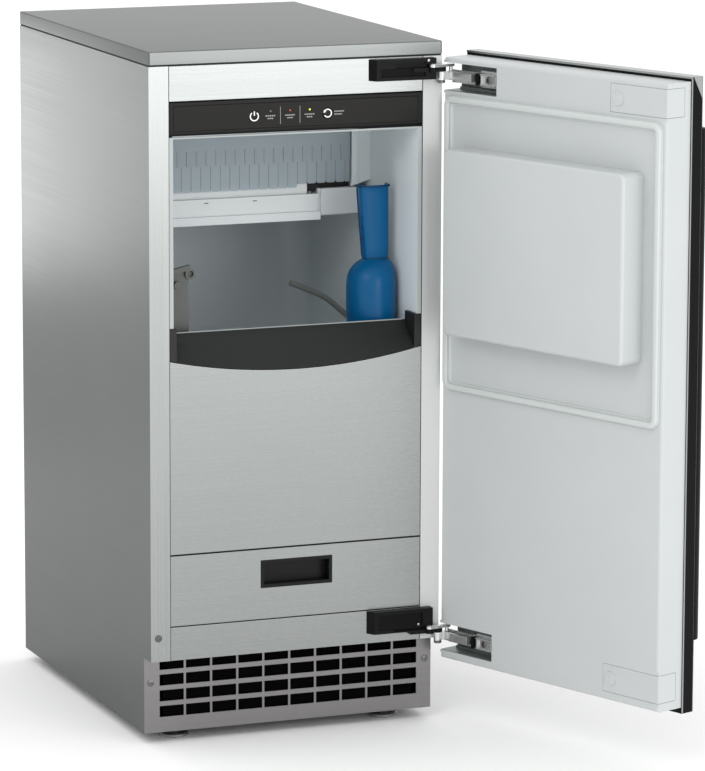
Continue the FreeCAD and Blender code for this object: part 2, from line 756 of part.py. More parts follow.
def hinge_arm(zc):
    """The slotted arm in the door pocket, with the knuckle on the main pin."""
    low = zc + ARM_LOW
    high = zc + ARM_HIGH
    half = TRACK_HALF + 2.1
    slide = door_box(0, ARM_LENGTH, TRACK_T - half, TRACK_T + half, low, high)
    bridge = door_box(-0.5, 5.5, -PIVOT_Y, TRACK_T, low, high)
    knuckle = drum(KNUCKLE_R, PIVOT.x, PIVOT.y, low, high)
    base = door_box(
        4, BASE_END, TRACK_T + half, TRACK_T + half + 2.5, zc - BASE_HALF, zc + BASE_HALF,
    )
    arm = join([slide, bridge, knuckle, base])
    track = door_box(
        5.5, TRACK_END - TRACK_HALF, TRACK_T - TRACK_HALF, TRACK_T + TRACK_HALF,
        zc - 2, high + 1,
    )
    ends = [
        drum(TRACK_HALF, DOOR_HALF - s, DOOR_FACE - TRACK_T, zc - 2, high + 1)
        for s in (5.5, TRACK_END - TRACK_HALF)
    ]
    arm = arm.cut(join([track] + ends))
    arm = arm.cut(drum(PIN_R + RUN_FIT, PIVOT.x, PIVOT.y, low - 1, high + 1))
    return arm


def hinge_arms():
    return Part.makeCompound([swing(hinge_arm(UPPER_HINGE_Z)), swing(hinge_arm(LOWER_HINGE_Z))])


# ---- door ------------------------------------------------------------------
def pocket(zc, s0, grow):
    """The hinge pocket's volume; grow adds the moulded wall around it."""
    half = POCKET_HEIGHT / 2 + grow
    s1 = s0 + POCKET_LENGTH
    a = s0 - grow if s0 > 1 else s0
    b = s1 + grow if s0 < 1 else s1
    return door_box(a, b, 0, POCKET_DEPTH + grow, zc - half, zc + half)


def pocket_starts():
    return (0.0, 2 * DOOR_HALF - POCKET_LENGTH)


def arm_boss(zc):
    half = TRACK_HALF + 2.1
    t0 = TRACK_T + half + 2.5
    return door_box(52, POCKET_LENGTH, t0, POCKET_DEPTH + 1, zc - 10, zc + 10)


def plug_box(grow, t0, t1):
    z1 = WORKTOP_TOP - PLUG_TOP_DROP
    return box(
        -PLUG_HALF - grow, PLUG_HALF + grow, DOOR_FACE - t0, DOOR_FACE - t1,
        z1 - PLUG_HEIGHT - grow, z1 + grow,
    )


def door_liner():
    full = 2 * DOOR_HALF
    outer = door_box(0, full, 0, DOOR_LINER_DEPTH, DOOR_LINER_BOTTOM, DOOR_LINER_TOP)
    outer = rounded(outer, 4.0, lambda e: at_y(e, DOOR_FACE))
    plug = plug_box(0.0, -PLUG_DEPTH, 1)
    face = DOOR_FACE + PLUG_DEPTH
    plug = rounded(plug, 8.0, lambda e: e.BoundBox.YLength > 30)
    plug = rounded(plug, 4.0, lambda e: at_y(e, face))
    cavity = door_box(
        WALL, full - WALL, WALL, DOOR_LINER_DEPTH + 1,
        DOOR_LINER_BOTTOM + WALL, DOOR_LINER_TOP - WALL,
    )
    hollow = plug_box(-WALL, -PLUG_DEPTH + WALL, WALL + 1)
    liner = join([outer, plug]).cut(cavity).cut(hollow)
    for zc in (UPPER_HINGE_Z, LOWER_HINGE_Z):
        for s0 in pocket_starts():
            liner = liner.fuse(pocket(zc, s0, WALL))
    for zc in (UPPER_HINGE_Z, LOWER_HINGE_Z):
        for s0 in pocket_starts():
            liner = liner.cut(pocket(zc, s0, 0.0))
        liner = liner.fuse(arm_boss(zc))
    return swing(liner.removeSplitter())


def door_foam():
    full = 2 * DOOR_HALF
    deep = DOOR_LINER_DEPTH + DOOR_FRAME_DEPTH
    block = door_box(
        WALL, full - WALL, WALL, DOOR_LINER_DEPTH,
        DOOR_LINER_BOTTOM + WALL, DOOR_LINER_TOP - WALL,
    )
    inset = DOOR_FRAME_WIDTH
    cap = door_box(
        inset, full - inset, DOOR_LINER_DEPTH, deep,
        DOOR_SKIN_BOTTOM + inset, DOOR_SKIN_TOP - inset,
    )
    core = plug_box(-WALL, -PLUG_DEPTH + WALL, WALL + 1)
    foam = join([block, cap, core])
    for zc in (UPPER_HINGE_Z, LOWER_HINGE_Z):
        for s0 in pocket_starts():
            foam = foam.cut(pocket(zc, s0, WALL))
    return swing(foam)


def door_gasket():
    z1 = WORKTOP_TOP - GASKET_TOP_DROP
    z0 = z1 - GASKET_HEIGHT
    y0 = DOOR_FACE
    y1 = FRONT - GASKET_FREE
    outer = box(-GASKET_HALF, GASKET_HALF, y0, y1, z0, z1)
    outer = rounded(outer, 3.0, lambda e: e.BoundBox.YLength > 5)
    w = GASKET_WIDTH
    inner = box(-GASKET_HALF + w, GASKET_HALF - w, y0, y1, z0 + w, z1 - w)
    return swing(outer.cut(inner))


def door_edge_frame():
    t0 = DOOR_LINER_DEPTH
    t1 = t0 + DOOR_FRAME_DEPTH
    w = DOOR_FRAME_WIDTH
    outer = box(-HALF, HALF, DOOR_FACE - t0, DOOR_FACE - t1, DOOR_SKIN_BOTTOM, DOOR_SKIN_TOP)
    inner = box(
        -HALF + w, HALF - w, DOOR_FACE - t0, DOOR_FACE - t1,
        DOOR_SKIN_BOTTOM + w, DOOR_SKIN_TOP - w,
    )
    return swing(outer.cut(inner))


def door_skin():
    t0 = SKIN_OUT - SHEET
    skin = box(
        -HALF, HALF, DOOR_FACE - t0, DOOR_FACE - SKIN_OUT, DOOR_SKIN_BOTTOM, DOOR_SKIN_TOP,
    )
    return swing(skin)


def door_handle():
    x = -HALF + HANDLE_INSET
    y_skin = DOOR_FACE - SKIN_OUT
    y = y_skin - HANDLE_STANDOFF
    z1 = WORKTOP_TOP - HANDLE_TOP_DROP
    bar = drum(HANDLE_R, x, y, HANDLE_BOTTOM, z1)
    bar = bar.makeChamfer(1.2, [e for e in bar.Edges if not upright(e)])
    posts = [
        rod(POST_R, V(x, y_skin, z), V(x, y, z))
        for z in (HANDLE_BOTTOM + POST_INSET, z1 - POST_INSET)
    ]
    return swing(join([bar] + posts))


def pocket_cover(zc):
    """Blank cover over an unused hinge pocket, with its round cap."""
    full = 2 * DOOR_HALF
    s0 = full - POCKET_LENGTH + CLEAR
    half = POCKET_HEIGHT / 2 - CLEAR
    face = door_box(s0, full, 0, 2.5, zc - half, zc + half)
    edge = door_box(full - 2.5, full, 0, POCKET_DEPTH - CLEAR, zc - half, zc + half)
    x = DOOR_HALF - s0 - 12.5
    cap = rod(8.6, V(x, DOOR_FACE, zc), V(x, DOOR_FACE + 1.2, zc))
    return swing(join([face, edge, cap]))


def pocket_covers():
    return Part.makeCompound([pocket_cover(UPPER_HINGE_Z), pocket_cover(LOWER_HINGE_Z)])


# ---- ice machine -----------------------------------------------------------
def evaporator():
    x0 = CURTAIN_X0 + 2
    x1 = WELL_X0 - 4
    y0 = ROD_Y + 16
    y1 = y0 + EVAP_DEPTH
    plate = box(x0, x1, y0, y1, EVAP_Z - 3, EVAP_Z)
    step_x = (x1 - x0) / CUP_COLUMNS
    step_y = (y1 - y0) / CUP_ROWS
    cups = []
    wells = []
    for i in range(CUP_COLUMNS):
        for j in range(CUP_ROWS):
            x = x0 + (i + 0.5) * step_x
            y = y0 + (j + 0.5) * step_y
            cups.append(drum(CUP_R, x, y, EVAP_Z - 3 - CUP_HEIGHT, EVAP_Z - 3))
            wells.append(drum(
                CUP_R - CUP_WALL, x, y, EVAP_Z - 4 - CUP_HEIGHT, EVAP_Z - 3 - CUP_WALL,
            ))
    posts = [
        drum(4, x, y, EVAP_Z, BIN_CEILING - LINER_WALL)
        for x in (x0 + 6, x1 - 6) for y in (y0 + 6, y1 - 6)
    ]
    body = join([plate] + cups + posts)
    return body.cut(Part.makeCompound(wells))


def coil_points():
    x0 = CURTAIN_X0 + 20
    x1 = WELL_X0 - 22
    y1 = ROD_Y + 16 + EVAP_DEPTH - 24
    z = EVAP_Z + COIL_R
    points = []
    for run in range(4):
        y = y1 - run * 35
        ends = (x1, x0) if run % 2 == 0 else (x0, x1)
        points += [V(ends[0], y, z), V(ends[1], y, z)]
    return points


def evaporator_coil():
    return pipe(COIL_R, coil_points())


def refrigerant_pipes(radius):
    """Suction and liquid lines from the compressor up the rear chase."""
    first = coil_points()[0]
    last = coil_points()[-1]
    cx = HALF - 89.0
    cy = BACK - 90.0
    top = FOOT_HEIGHT + 26 + COMPRESSOR_H
    y = CHASE_Y
    gap = COIL_R + 0.1
    suction = pipe(radius, [
        V(cx, cy, top), V(cx, cy, top + 22), V(cx, y, top + 22), V(first.x, y, top + 50),
        V(first.x, y, first.z), V(first.x, first.y + gap, first.z),
    ])
    z2 = last.z + 14
    liquid = pipe(radius, [
        V(cx + 35, cy, top - 10), V(cx + 35, cy, top + 36), V(cx + 35, y - 9, top + 36),
        V(WELL_X0 - 2, y - 9, z2), V(WELL_X0 - 2, last.y, z2), V(WELL_X0 - 2, last.y, last.z),
        V(last.x + gap, last.y, last.z),
    ])
    return [suction, liquid]


def refrigerant_lines():
    pipes = refrigerant_pipes(PIPE_R)
    solids = [p.cut(compressor()) for p in pipes]
    return Part.makeCompound(solids)


def sump_walls(x0, x1, y0, y1, z0, z1, corner):
    """An open tray; corner rounds its front right edge."""
    outer = box(x0, x1, y0, y1, z0, z1)
    inner = box(x0 + WALL, x1 - WALL, y0 + WALL, y1 - WALL, z0 + WALL, z1 + 1)
    if corner:
        outer = rounded(outer, corner, lambda e: upright(e) and e.BoundBox.XMin > x1 - 1 and at_y(e, y0))
        inner = rounded(
            inner, corner - WALL,
            lambda e: upright(e) and e.BoundBox.XMin > x1 - WALL - 1 and at_y(e, y0 + WALL),
        )
    return outer.cut(inner)


def water_sump():
    y0 = ROD_Y
    y1 = y0 + 170
    x0 = CURTAIN_X0
    x1 = WELL_X0
    tray = sump_walls(x0, x1, y0, y1, SUMP_BOTTOM, SUMP_TOP, 0)
    lip = box(x0, x1 + 2, y0 - 3, y0, SUMP_BOTTOM, SUMP_BOTTOM + 10.5)
    rim = box(x0, x1, y0 - 2, y0, SUMP_TOP - 4.5, SUMP_TOP)
    well = sump_walls(
        x1, CURTAIN_X1 + 6, y0 + 3, y0 + 130, SUMP_BOTTOM + 4, SUMP_TOP + 6, 15,
    )
    ears = [
        box(-LINER_IN, x0, y0 + 20, y0 + 150, SUMP_TOP - 10, SUMP_TOP - 5),
        box(CURTAIN_X1 + 6, LINER_IN, y0 + 40, y0 + 120, SUMP_TOP - 10, SUMP_TOP - 5),
    ]
    sump = join([tray, lip, rim, well] + ears)
    passage = box(x1 - WALL - 1, x1 + WALL + 1, y0 + 60, y0 + 100, SUMP_BOTTOM + 8, SUMP_TOP - 8)
    sump = sump.cut(passage)
    return cut_lines(sump, 0.0)


def spray_manifold():
    x0 = CURTAIN_X0 + 10
    x1 = WELL_X0 + 12
    bar = rod(SPRAY_R, V(x0, SPRAY_Y, SPRAY_Z), V(x1, SPRAY_Y, SPRAY_Z))
    down = drum(5, x1 - 5, SPRAY_Y, SUMP_TOP + 9, SPRAY_Z)
    step = (WELL_X0 - 4 - CURTAIN_X0 - 2) / CUP_COLUMNS
    nozzles = [
        drum(3, CURTAIN_X0 + 2 + (i + 0.5) * step, SPRAY_Y, SPRAY_Z, SPRAY_Z + SPRAY_R + 8)
        for i in range(CUP_COLUMNS)
    ]
    return join([bar, down] + nozzles)


def ice_slide():
    x0 = CURTAIN_X0 + 6
    x1 = WELL_X0 - 6
    y0 = ROD_Y + 10
    y1 = ROD_Y + 165
    z0 = SPRAY_Z + 17
    z1 = SPRAY_Z + 62
    count = 12
    step = (x1 - x0 - 3) / (count - 1)
    bars = []
    for i in range(count):
        x = x0 + i * step
        bars.append(prism(
            [V(x, y0, z0), V(x, y0, z0 - 6), V(x, y1, z1 - 6), V(x, y1, z1)], V(3, 0, 0),
        ))
    cross = [
        rod(2.5, V(x0, y0 + 4, z0 - 2), V(x1, y0 + 4, z0 - 2)),
        rod(2.5, V(x0, y1 - 2.5, z1 - 4), V(x1, y1 - 2.5, z1 - 4)),
    ]
    legs = [
        drum(2.5, x, y, SUMP_BOTTOM + WALL, z)
        for x in (x0 + 1.5, x1 - 1.5) for y, z in ((y0 + 4, z0 - 2), (y1 - 2.5, z1 - 4))
    ]
    return join(bars + cross + legs)


def curtain_frame():
    x0 = CURTAIN_X1 + 1
    x1 = LINER_IN
    top = BIN_CEILING - LINER_WALL
    outline = [
        V(x0, ROD_Y - 2, SUMP_TOP + 7), V(x1, ROD_Y - 2, SUMP_TOP + 15),
        V(x1, ROD_Y - 2, top), V(x0, ROD_Y - 2, top),
    ]
    sheet = prism(outline, V(0, 4, 0))
    bead = box(x0, x0 + 8, ROD_Y - 5, ROD_Y - 2, SUMP_TOP + 10, top)
    bar = rod(ROD_R, V(-LINER_IN, ROD_Y, ROD_Z), V(x0 + 1, ROD_Y, ROD_Z))
    return join([sheet, bead, bar])


def ice_curtain():
    x0 = CURTAIN_X0
    x1 = CURTAIN_X1 - 1
    y0 = ROD_Y - ROD_R - RUN_FIT - CURTAIN_LAYER
    loop = rod(ROD_R + RUN_FIT + CURTAIN_LAYER, V(x0, ROD_Y, ROD_Z), V(x1, ROD_Y, ROD_Z))
    front_low = WORKTOP_TOP - FRONT_STRIPS_DROP
    rear_low = WORKTOP_TOP - REAR_STRIPS_DROP
    slit_top = WORKTOP_TOP - SLIT_TOP_DROP
    front = box(x0, x1, y0, y0 + CURTAIN_LAYER, front_low, ROD_Z)
    rear = box(
        x0, x1, y0 + CURTAIN_LAYER, y0 + 2 * CURTAIN_LAYER, rear_low, ROD_Z - ROD_R - 1.2,
    )
    count = int((x1 - x0) / STRIP_PITCH)
    for i in range(1, count + 1):
        x = x0 + i * STRIP_PITCH
        front = front.cut(box(x, x + SLIT, y0 - 1, y0 + 3, front_low - 1, slit_top))
    for i in range(count + 1):
        x = x0 + (i + 0.5) * STRIP_PITCH
        rear = rear.cut(box(x, x + SLIT, y0 - 1, y0 + 3, rear_low - 1, slit_top))
    curtain = join([loop, front, rear])
    bore = rod(ROD_R + RUN_FIT, V(x0 - 1, ROD_Y, ROD_Z), V(x1 + 1, ROD_Y, ROD_Z))
    return curtain.cut(bore)


def water_pump():
    x0 = WELL_X0 + 0.5
    x1 = CURTAIN_X1 + 5.5
    xc = (x0 + x1) / 2
    yc = ROD_Y + 55
    z = SUMP_TOP + 6
    plate = box(x0, x1, yc - 26, SPRAY_Y + 12, z, z + 3)
    motor = drum(17, xc, yc, z + 3, z + 62)
    motor = rounded(motor, 3.0, lambda e: e.BoundBox.ZMin > z + 61)
    volute = drum(14, xc, yc, SUMP_BOTTOM + 12, z)
    return join([plate, motor, volute])


def bin_probe():
    y = FRONT + PROBE_Y
    wall = LINER_IN
    base = V(wall, y, WORKTOP_TOP - 375)
    bend = V(wall - 35, y, WORKTOP_TOP - 346)
    tip = V(wall - 83, y, WORKTOP_TOP - 325)
    body = pipe(PROBE_R, [base, bend, tip])
    flange = rod(7, V(wall - 3, y, base.z), base)
    end = Part.makeSphere(PROBE_R, tip)
    keep = box(-wall, wall, y - 20, y + 20, base.z - 20, tip.z + 20)
    return join([body, flange, end]).common(keep)


def wall_holder():
    """Dark upright on the left wall with a looped hook at its top."""
    x0 = -LINER_IN
    y0 = FRONT + 48
    z0 = LIP_TOP - 70
    z1 = WORKTOP_TOP - 272
    outline = [
        V(x0, y0, z0), V(x0 + 36, y0, z0), V(x0 + 36, y0, z1 + 4), V(x0, y0, z1 - 4),
    ]
    plate = prism(outline, V(0, 4, 0))
    bar = prism([
        V(x0, y0 - 4, z1 - 8), V(x0 + 37, y0 - 4, z1), V(x0 + 37, y0 - 4, z1 + 6),
        V(x0, y0 - 4, z1 - 2),
    ], V(0, 8, 0))
    ring_at = V(x0 + 37, y0 - 4, z1 - 5)
    ring = rod(6.5, ring_at, ring_at + V(0, 6, 0))
    ring = ring.cut(rod(4.0, ring_at - V(0, 1, 0), ring_at + V(0, 4, 0)))
    knob = rod(4.5, V(x0 + 20, y0 - 6, z1 - 18), V(x0 + 20, y0 + 1, z1 - 18))
    return join([plate, bar, ring, knob])


def scoop_outline(x, y, z, half_front, half_back, depth):
    """A closed section of the scoop's handle, flat at the front."""
    y0 = y - depth / 2
    y1 = y + depth / 2
    points = [
        V(x - half_front, y0 + 3, z), V(x - half_front + 3, y0, z),
        V(x + half_front - 3, y0, z), V(x + half_front, y0 + 3, z),
        V(x + half_back, y1, z), V(x - half_back, y1, z),
    ]
    return Part.makePolygon(points + [points[0]])


def ice_scoop():
    x = LINER_IN + SCOOP_X
    y = FRONT + SCOOP_Y
    top = WORKTOP_TOP - SCOOP_TOP_DROP
    neck = WORKTOP_TOP - SCOOP_NECK_DROP
    low = WORKTOP_TOP - SCOOP_BOTTOM_DROP
    w = SCOOP_WALL
    handle = Part.makeLoft([
        scoop_outline(x, y, neck - 14, 16.5, 10, 20), scoop_outline(x, y, top, 20, 10, 22),
    ], True)
    groove = Part.makeLoft([
        scoop_outline(x, y + w + 1, neck - 14, 16.5 - w, 10 - w + 1, 21),
        scoop_outline(x, y + w + 1, top - w, 20 - w, 10 - w + 1, 23),
    ], True)
    handle = handle.cut(groove)
    shoulder = neck - 34
    bowl = drum(SCOOP_R, x, y, low, shoulder)
    dome = Part.makeSphere(SCOOP_R, V(x, y, shoulder))
    inner = drum(SCOOP_R - w, x, y, low - 1, shoulder)
    inner_dome = Part.makeSphere(SCOOP_R - w, V(x, y, shoulder))
    shell = join([bowl, dome]).cut(join([inner, inner_dome]))
    shell = shell.cut(box(x - 60, x + 60, y + 6, y + 60, low - 5, shoulder + 60))
    slope = prism([
        V(x - 60, y - 60, low - 1), V(x - 60, y + 60, low - 1), V(x - 60, y + 60, low + 78),
    ], V(120, 0, 0))
    shell = shell.cut(slope)
    throat = join([inner, inner_dome])
    handle = handle.cut(throat)
    return join([shell, handle])


def scoop_holder():
    """Cradle on the right wall that the scoop's lower end stands in."""
    x = LINER_IN + SCOOP_X
    y = FRONT + SCOOP_Y
    low = WORKTOP_TOP - SCOOP_BOTTOM_DROP
    floor = box(x - 24, LINER_IN, y - SCOOP_R - 4, y + 14, low - 4, low - 0.3)
    wall = box(LINER_IN - 3, LINER_IN, y - SCOOP_R - 4, y + 30, low - 4, low + 30)
    wall = wall.cut(drum(SCOOP_R + 0.4, x, y, low - 3, low + 40))
    guard = box(x - 24, LINER_IN, y - SCOOP_R - 4, y - SCOOP_R - 1, low - 4, low + 12)
    return join([floor, wall, guard])


# ---- machine compartment ---------------------------------------------------
def compressor():
    x = HALF - 89.0
    y = BACK - 90.0
    z0 = FOOT_HEIGHT + 2
    top = FOOT_HEIGHT + 26 + COMPRESSOR_H
    shell = drum(COMPRESSOR_R, x, y, z0 + 20, top)
    shell = rounded(shell, 24.0, lambda e: e.BoundBox.ZMin > top - 1)
    plate = box(x - 74, x + 74, y - 48, y + 48, z0 + 14, z0 + 18)
    saddle = drum(40, x, y, z0 + 16, z0 + 22)
    grommets = [
        drum(9, x + dx, y + dy, z0, z0 + 14)
        for dx in (-64, 64) for dy in (-38, 38)
    ]
    terminal = box(x - 14, x + 14, y - COMPRESSOR_R - 14, y - COMPRESSOR_R + 8, 70, 110)
    return join([shell, plate, saddle, terminal] + grommets)


def condenser():
    x0 = FAN_X - CONDENSER_W / 2
    x1 = FAN_X + CONDENSER_W / 2
    y0 = FRONT + 80
    z0 = FOOT_HEIGHT + 10
    core = box(x0 + 8, x1 - 8, y0, y0 + CONDENSER_D, z0, z0 + CONDENSER_H)
    tubes = []
    for row in range(5):
        z = z0 + 15 + row * 30
        ring = Part.makeTorus(10, 3.5, V(x1 - 8, y0 + 20, z + 0), X_AXIS)
        tubes.append(ring)
    stands = [box(x, x + 8, y0, y0 + CONDENSER_D, FOOT_HEIGHT + 2, z0 + 4) for x in (x0 + 8, x1 - 16)]
    half = box(x1 - 8, x1 + 20, y0 - 20, y0 + 80, z0, z0 + CONDENSER_H)
    loops = [t.common(half) for t in tubes]
    return join([core] + stands + loops)


def fan_place():
    return V(FAN_X, FRONT + 80 + CONDENSER_D + 1, FAN_Z)


def fan_shroud():
    c = fan_place()
    w = CONDENSER_W / 2
    plate = box(c.x - w, c.x + w, c.y, c.y + 3, FOOT_HEIGHT + 2, c.z + CONDENSER_H / 2)
    collar = rod(SHROUD_R + 3, c, c + V(0, 24, 0))
    body = join([plate, collar])
    body = body.cut(rod(SHROUD_R, c - V(0, 1, 0), c + V(0, 30, 0)))
    arms = []
    for k in range(3):
        arm = box(c.x - 4, c.x + 4, c.y + 36, c.y + 40, c.z, c.z + SHROUD_R + 3)
        post = box(c.x - 4, c.x + 4, c.y + 20, c.y + 40, c.z + SHROUD_R, c.z + SHROUD_R + 3)
        spoke = join([arm, post])
        spoke.rotate(c, Y_AXIS, 60 + 120 * k)
        arms.append(spoke)
    ring = rod(26, c + V(0, 36, 0), c + V(0, 40, 0))
    body = join([body, ring] + arms)
    return body.cut(rod(8, c + V(0, 30, 0), c + V(0, 50, 0)))


def fan_motor():
    c = fan_place()
    can = rod(24, c + V(0, 40, 0), c + V(0, 78, 0))
    can = rounded(can, 3.0, lambda e: at_y(e, c.y + 78))
    shaft = rod(SHAFT_R, c + V(0, 12, 0), c + V(0, 41, 0))
    return join([can, shaft])


def fan_blade():
    c = fan_place()
    hub = rod(FAN_HUB_R, c + V(0, 8, 0), c + V(0, 26, 0))
    hub = rounded(hub, 3.0, lambda e: at_y(e, c.y + 8))
    blades = []
    for k in range(5):
        blade = box(c.x - 19, c.x + 19, c.y + 15.5, c.y + 17.5, c.z + 14, c.z + FAN_R + 4)
        blade.rotate(c + V(0, 16.5, 0), Z_AXIS, 20)
        blade.rotate(c, Y_AXIS, 72 * k)
        blades.append(blade)
    rotor = join([hub] + blades)
    rotor = rotor.common(rod(FAN_R, c + V(0, 2, 0), c + V(0, 30, 0)))
    return rotor.cut(rod(SHAFT_R + RUN_FIT, c + V(0, 11.5, 0), c + V(0, 30, 0)))


def inlet_valve():
    x = VALVE_X
    body = box(x - 14, x + 14, BACK - 52, BACK - 18, 70, 100)
    nipple = rod(INLET_R, V(x, BACK - 20, 85), V(x, BACK, 85))
    nipple_bore = rod(INLET_BORE_R, V(x, BACK - 16, 85), V(x, BACK + 1, 85))
    coil = drum(12, x, BACK - 35, 100, 128)
    foot = box(x - 10, x + 10, BACK - 48, BACK - 22, FOOT_HEIGHT + 2, 70)
    valve = join([body, nipple, coil, foot]).cut(nipple_bore)
    return valve


def drain_pump():
    body = box(-84, -36, BACK - 92, BACK - 30, FOOT_HEIGHT + 2, 66)
    motor = drum(16, -60, BACK - 66, 66, 96)
    stub = rod(DRAIN_STUB_R, V(-60, BACK - 31, 50), V(-60, BACK, 50))
    bore = rod(DRAIN_BORE_R, V(-60, BACK - 28, 50), V(-60, BACK + 1, 50))
    return join([body, motor, stub]).cut(bore)


def cord_gland():
    ring = rod(8, V(10, BACK - SHEET - 5, 60), V(10, BACK, 60))
    nut = rod(11, V(10, BACK - SHEET - 5, 60), V(10, BACK - SHEET, 60))
    bore = rod(4.5, V(10, BACK - 20, 60), V(10, BACK + 1, 60))
    return join([ring, nut]).cut(bore)


def hose_runs(radius):
    """Water feed up the rear chase and the bin drain down to its pump."""
    x = VALVE_X
    y_sump = ROD_Y + 170
    feed = pipe(radius, [
        V(x - 20, BACK - 40, 90), V(x - 20, CHASE_Y, 130), V(x - 20, CHASE_Y, WATER_Z),
        V(x - 2, FOAM_BACK - 10, WATER_Z), V(x - 2, y_sump - WALL - 1, WATER_Z),
    ])
    drain = pipe(radius, [
        V(0, DRAIN_AT.y, BIN_FLOOR), V(0, DRAIN_AT.y, 200), V(-60, BACK - 110, 60),
        V(-60, BACK - 90, 60),
    ])
    return [feed, drain]


def water_hoses():
    feed, drain = hose_runs(HOSE_R)
    feed = feed.cut(inlet_valve())
    drain = drain.cut(drain_pump())
    return Part.makeCompound([feed, drain])


# ---- write every part ------------------------------------------------------
NODES = {
    "worktop": worktop,
    "top_seal": top_seal,
    "side_panel_left": side_panel_left,
    "side_panel_right": side_panel_right,
    "back_panel": back_panel,
    "base_pan": base_pan,
    "foot_front_left": lambda: levelling_foot("front_left"),
    "foot_front_right": lambda: levelling_foot("front_right"),
    "foot_rear_left": lambda: levelling_foot("rear_left"),
    "foot_rear_right": lambda: levelling_foot("rear_right"),
    "header_panel": header_panel,
    "control_housing": control_housing,
    "control_fascia": control_fascia,
    "indicator_lights": lambda: Part.makeCompound(light_solids()),
    "power_button": lambda: push_button(POWER_X),
    "clean_button": lambda: push_button(CLEAN_X),
    "control_board": control_board,
    "bin_liner": bin_liner,
    "cabinet_foam": cabinet_foam,
    "sill_trim": sill_trim,
    "front_panel": front_panel,
    "service_panel": service_panel,
    "service_grip": service_grip,
    "bottom_strip": bottom_strip,
    "kick_plate": kick_plate,
    "front_screws": front_screws,
    "hinge_bracket_upper": lambda: hinge_bracket(UPPER_HINGE_Z, UPPER_BRACKET),
    "hinge_bracket_lower": lambda: hinge_bracket(LOWER_HINGE_Z, LOWER_BRACKET),
    "hinge_pins": hinge_pins,
    "hinge_links": hinge_links,
    "hinge_arms": hinge_arms,
    "door_liner": door_liner,
    "door_foam": door_foam,
    "door_gasket": door_gasket,
    "door_edge_frame": door_edge_frame,
    "door_skin": door_skin,
    "door_handle": door_handle,
    "pocket_covers": pocket_covers,
    "evaporator": evaporator,
    "evaporator_coil": evaporator_coil,
    "spray_manifold": spray_manifold,
    "ice_slide": ice_slide,
    "water_sump": water_sump,
    "curtain_frame": curtain_frame,
    "ice_curtain": ice_curtain,
    "water_pump": water_pump,
    "bin_probe": bin_probe,
    "wall_holder": wall_holder,
    "ice_scoop": ice_scoop,
    "scoop_holder": scoop_holder,
    "compressor": compressor,
    "condenser": condenser,
    "fan_shroud": fan_shroud,
    "fan_motor": fan_motor,
    "fan_blade": fan_blade,
    "inlet_valve": inlet_valve,
    "drain_pump": drain_pump,
    "cord_gland": cord_gland,
    "refrigerant_lines": refrigerant_lines,
    "water_hoses": water_hoses,
}


def main():
    os.makedirs("parts", exist_ok=True)
    for name, build in NODES.items():
        shape = build()
        solids = shape.Solids
        shape = solids[0] if len(solids) == 1 else Part.makeCompound(solids)
        shape.exportStep("parts/" + name + ".step")
        print(name, len(solids), shape.isValid())


main()
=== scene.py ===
"""Looks of the under-counter ice maker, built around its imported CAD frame."""

from __future__ import annotations

import json
import logging
import math
from dataclasses import dataclass, field
from enum import Enum
from typing import Any, Iterable, Sequence

import bmesh
import bpy
from mathutils import Matrix, Vector

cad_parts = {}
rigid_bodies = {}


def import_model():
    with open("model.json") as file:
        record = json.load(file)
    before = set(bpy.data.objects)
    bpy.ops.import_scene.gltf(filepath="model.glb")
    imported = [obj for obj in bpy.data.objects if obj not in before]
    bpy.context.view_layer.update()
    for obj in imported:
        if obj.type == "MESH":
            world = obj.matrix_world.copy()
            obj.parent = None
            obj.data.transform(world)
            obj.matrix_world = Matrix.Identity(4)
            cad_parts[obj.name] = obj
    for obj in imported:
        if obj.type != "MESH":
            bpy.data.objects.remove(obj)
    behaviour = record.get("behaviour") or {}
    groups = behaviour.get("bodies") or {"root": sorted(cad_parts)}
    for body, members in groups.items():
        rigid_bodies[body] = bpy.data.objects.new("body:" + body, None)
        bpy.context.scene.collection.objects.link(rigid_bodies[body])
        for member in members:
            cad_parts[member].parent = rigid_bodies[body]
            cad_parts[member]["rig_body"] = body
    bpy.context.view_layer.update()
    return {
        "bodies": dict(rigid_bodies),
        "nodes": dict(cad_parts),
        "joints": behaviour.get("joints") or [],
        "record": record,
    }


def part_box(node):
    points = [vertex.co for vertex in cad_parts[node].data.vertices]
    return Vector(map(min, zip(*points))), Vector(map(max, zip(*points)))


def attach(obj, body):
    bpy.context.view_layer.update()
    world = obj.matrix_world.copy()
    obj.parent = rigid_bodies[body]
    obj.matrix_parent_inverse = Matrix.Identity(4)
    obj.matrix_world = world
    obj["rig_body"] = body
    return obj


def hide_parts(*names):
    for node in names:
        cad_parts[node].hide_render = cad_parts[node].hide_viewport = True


LOG = logging.getLogger("ice_maker")
MM = 0.001
Pair = tuple[float, float]
Point = tuple[float, float, float]
Shape = tuple[list[Point], list[list[int]]]  # points in millimetres, and the corners of each face
Tree = bpy.types.NodeTree
Node = bpy.types.Node
Socket = bpy.types.NodeSocket
Piece = bpy.types.Object


def linear(hex_colour: str) -> tuple[float, float, float, float]:
    """Turns an sRGB hex colour into the linear colour that Blender stores.

    Args:
        hex_colour: Six hex digits, with or without a leading hash.

    Returns:
        Red, green, blue and an alpha of one.
    """
    digits = hex_colour.lstrip("#")
    parts = [int(digits[i : i + 2], 16) / 255 for i in (0, 2, 4)]
    low = [c / 12.92 if c <= 0.04045 else ((c + 0.055) / 1.055) ** 2.4 for c in parts]
    return (low[0], low[1], low[2], 1.0)


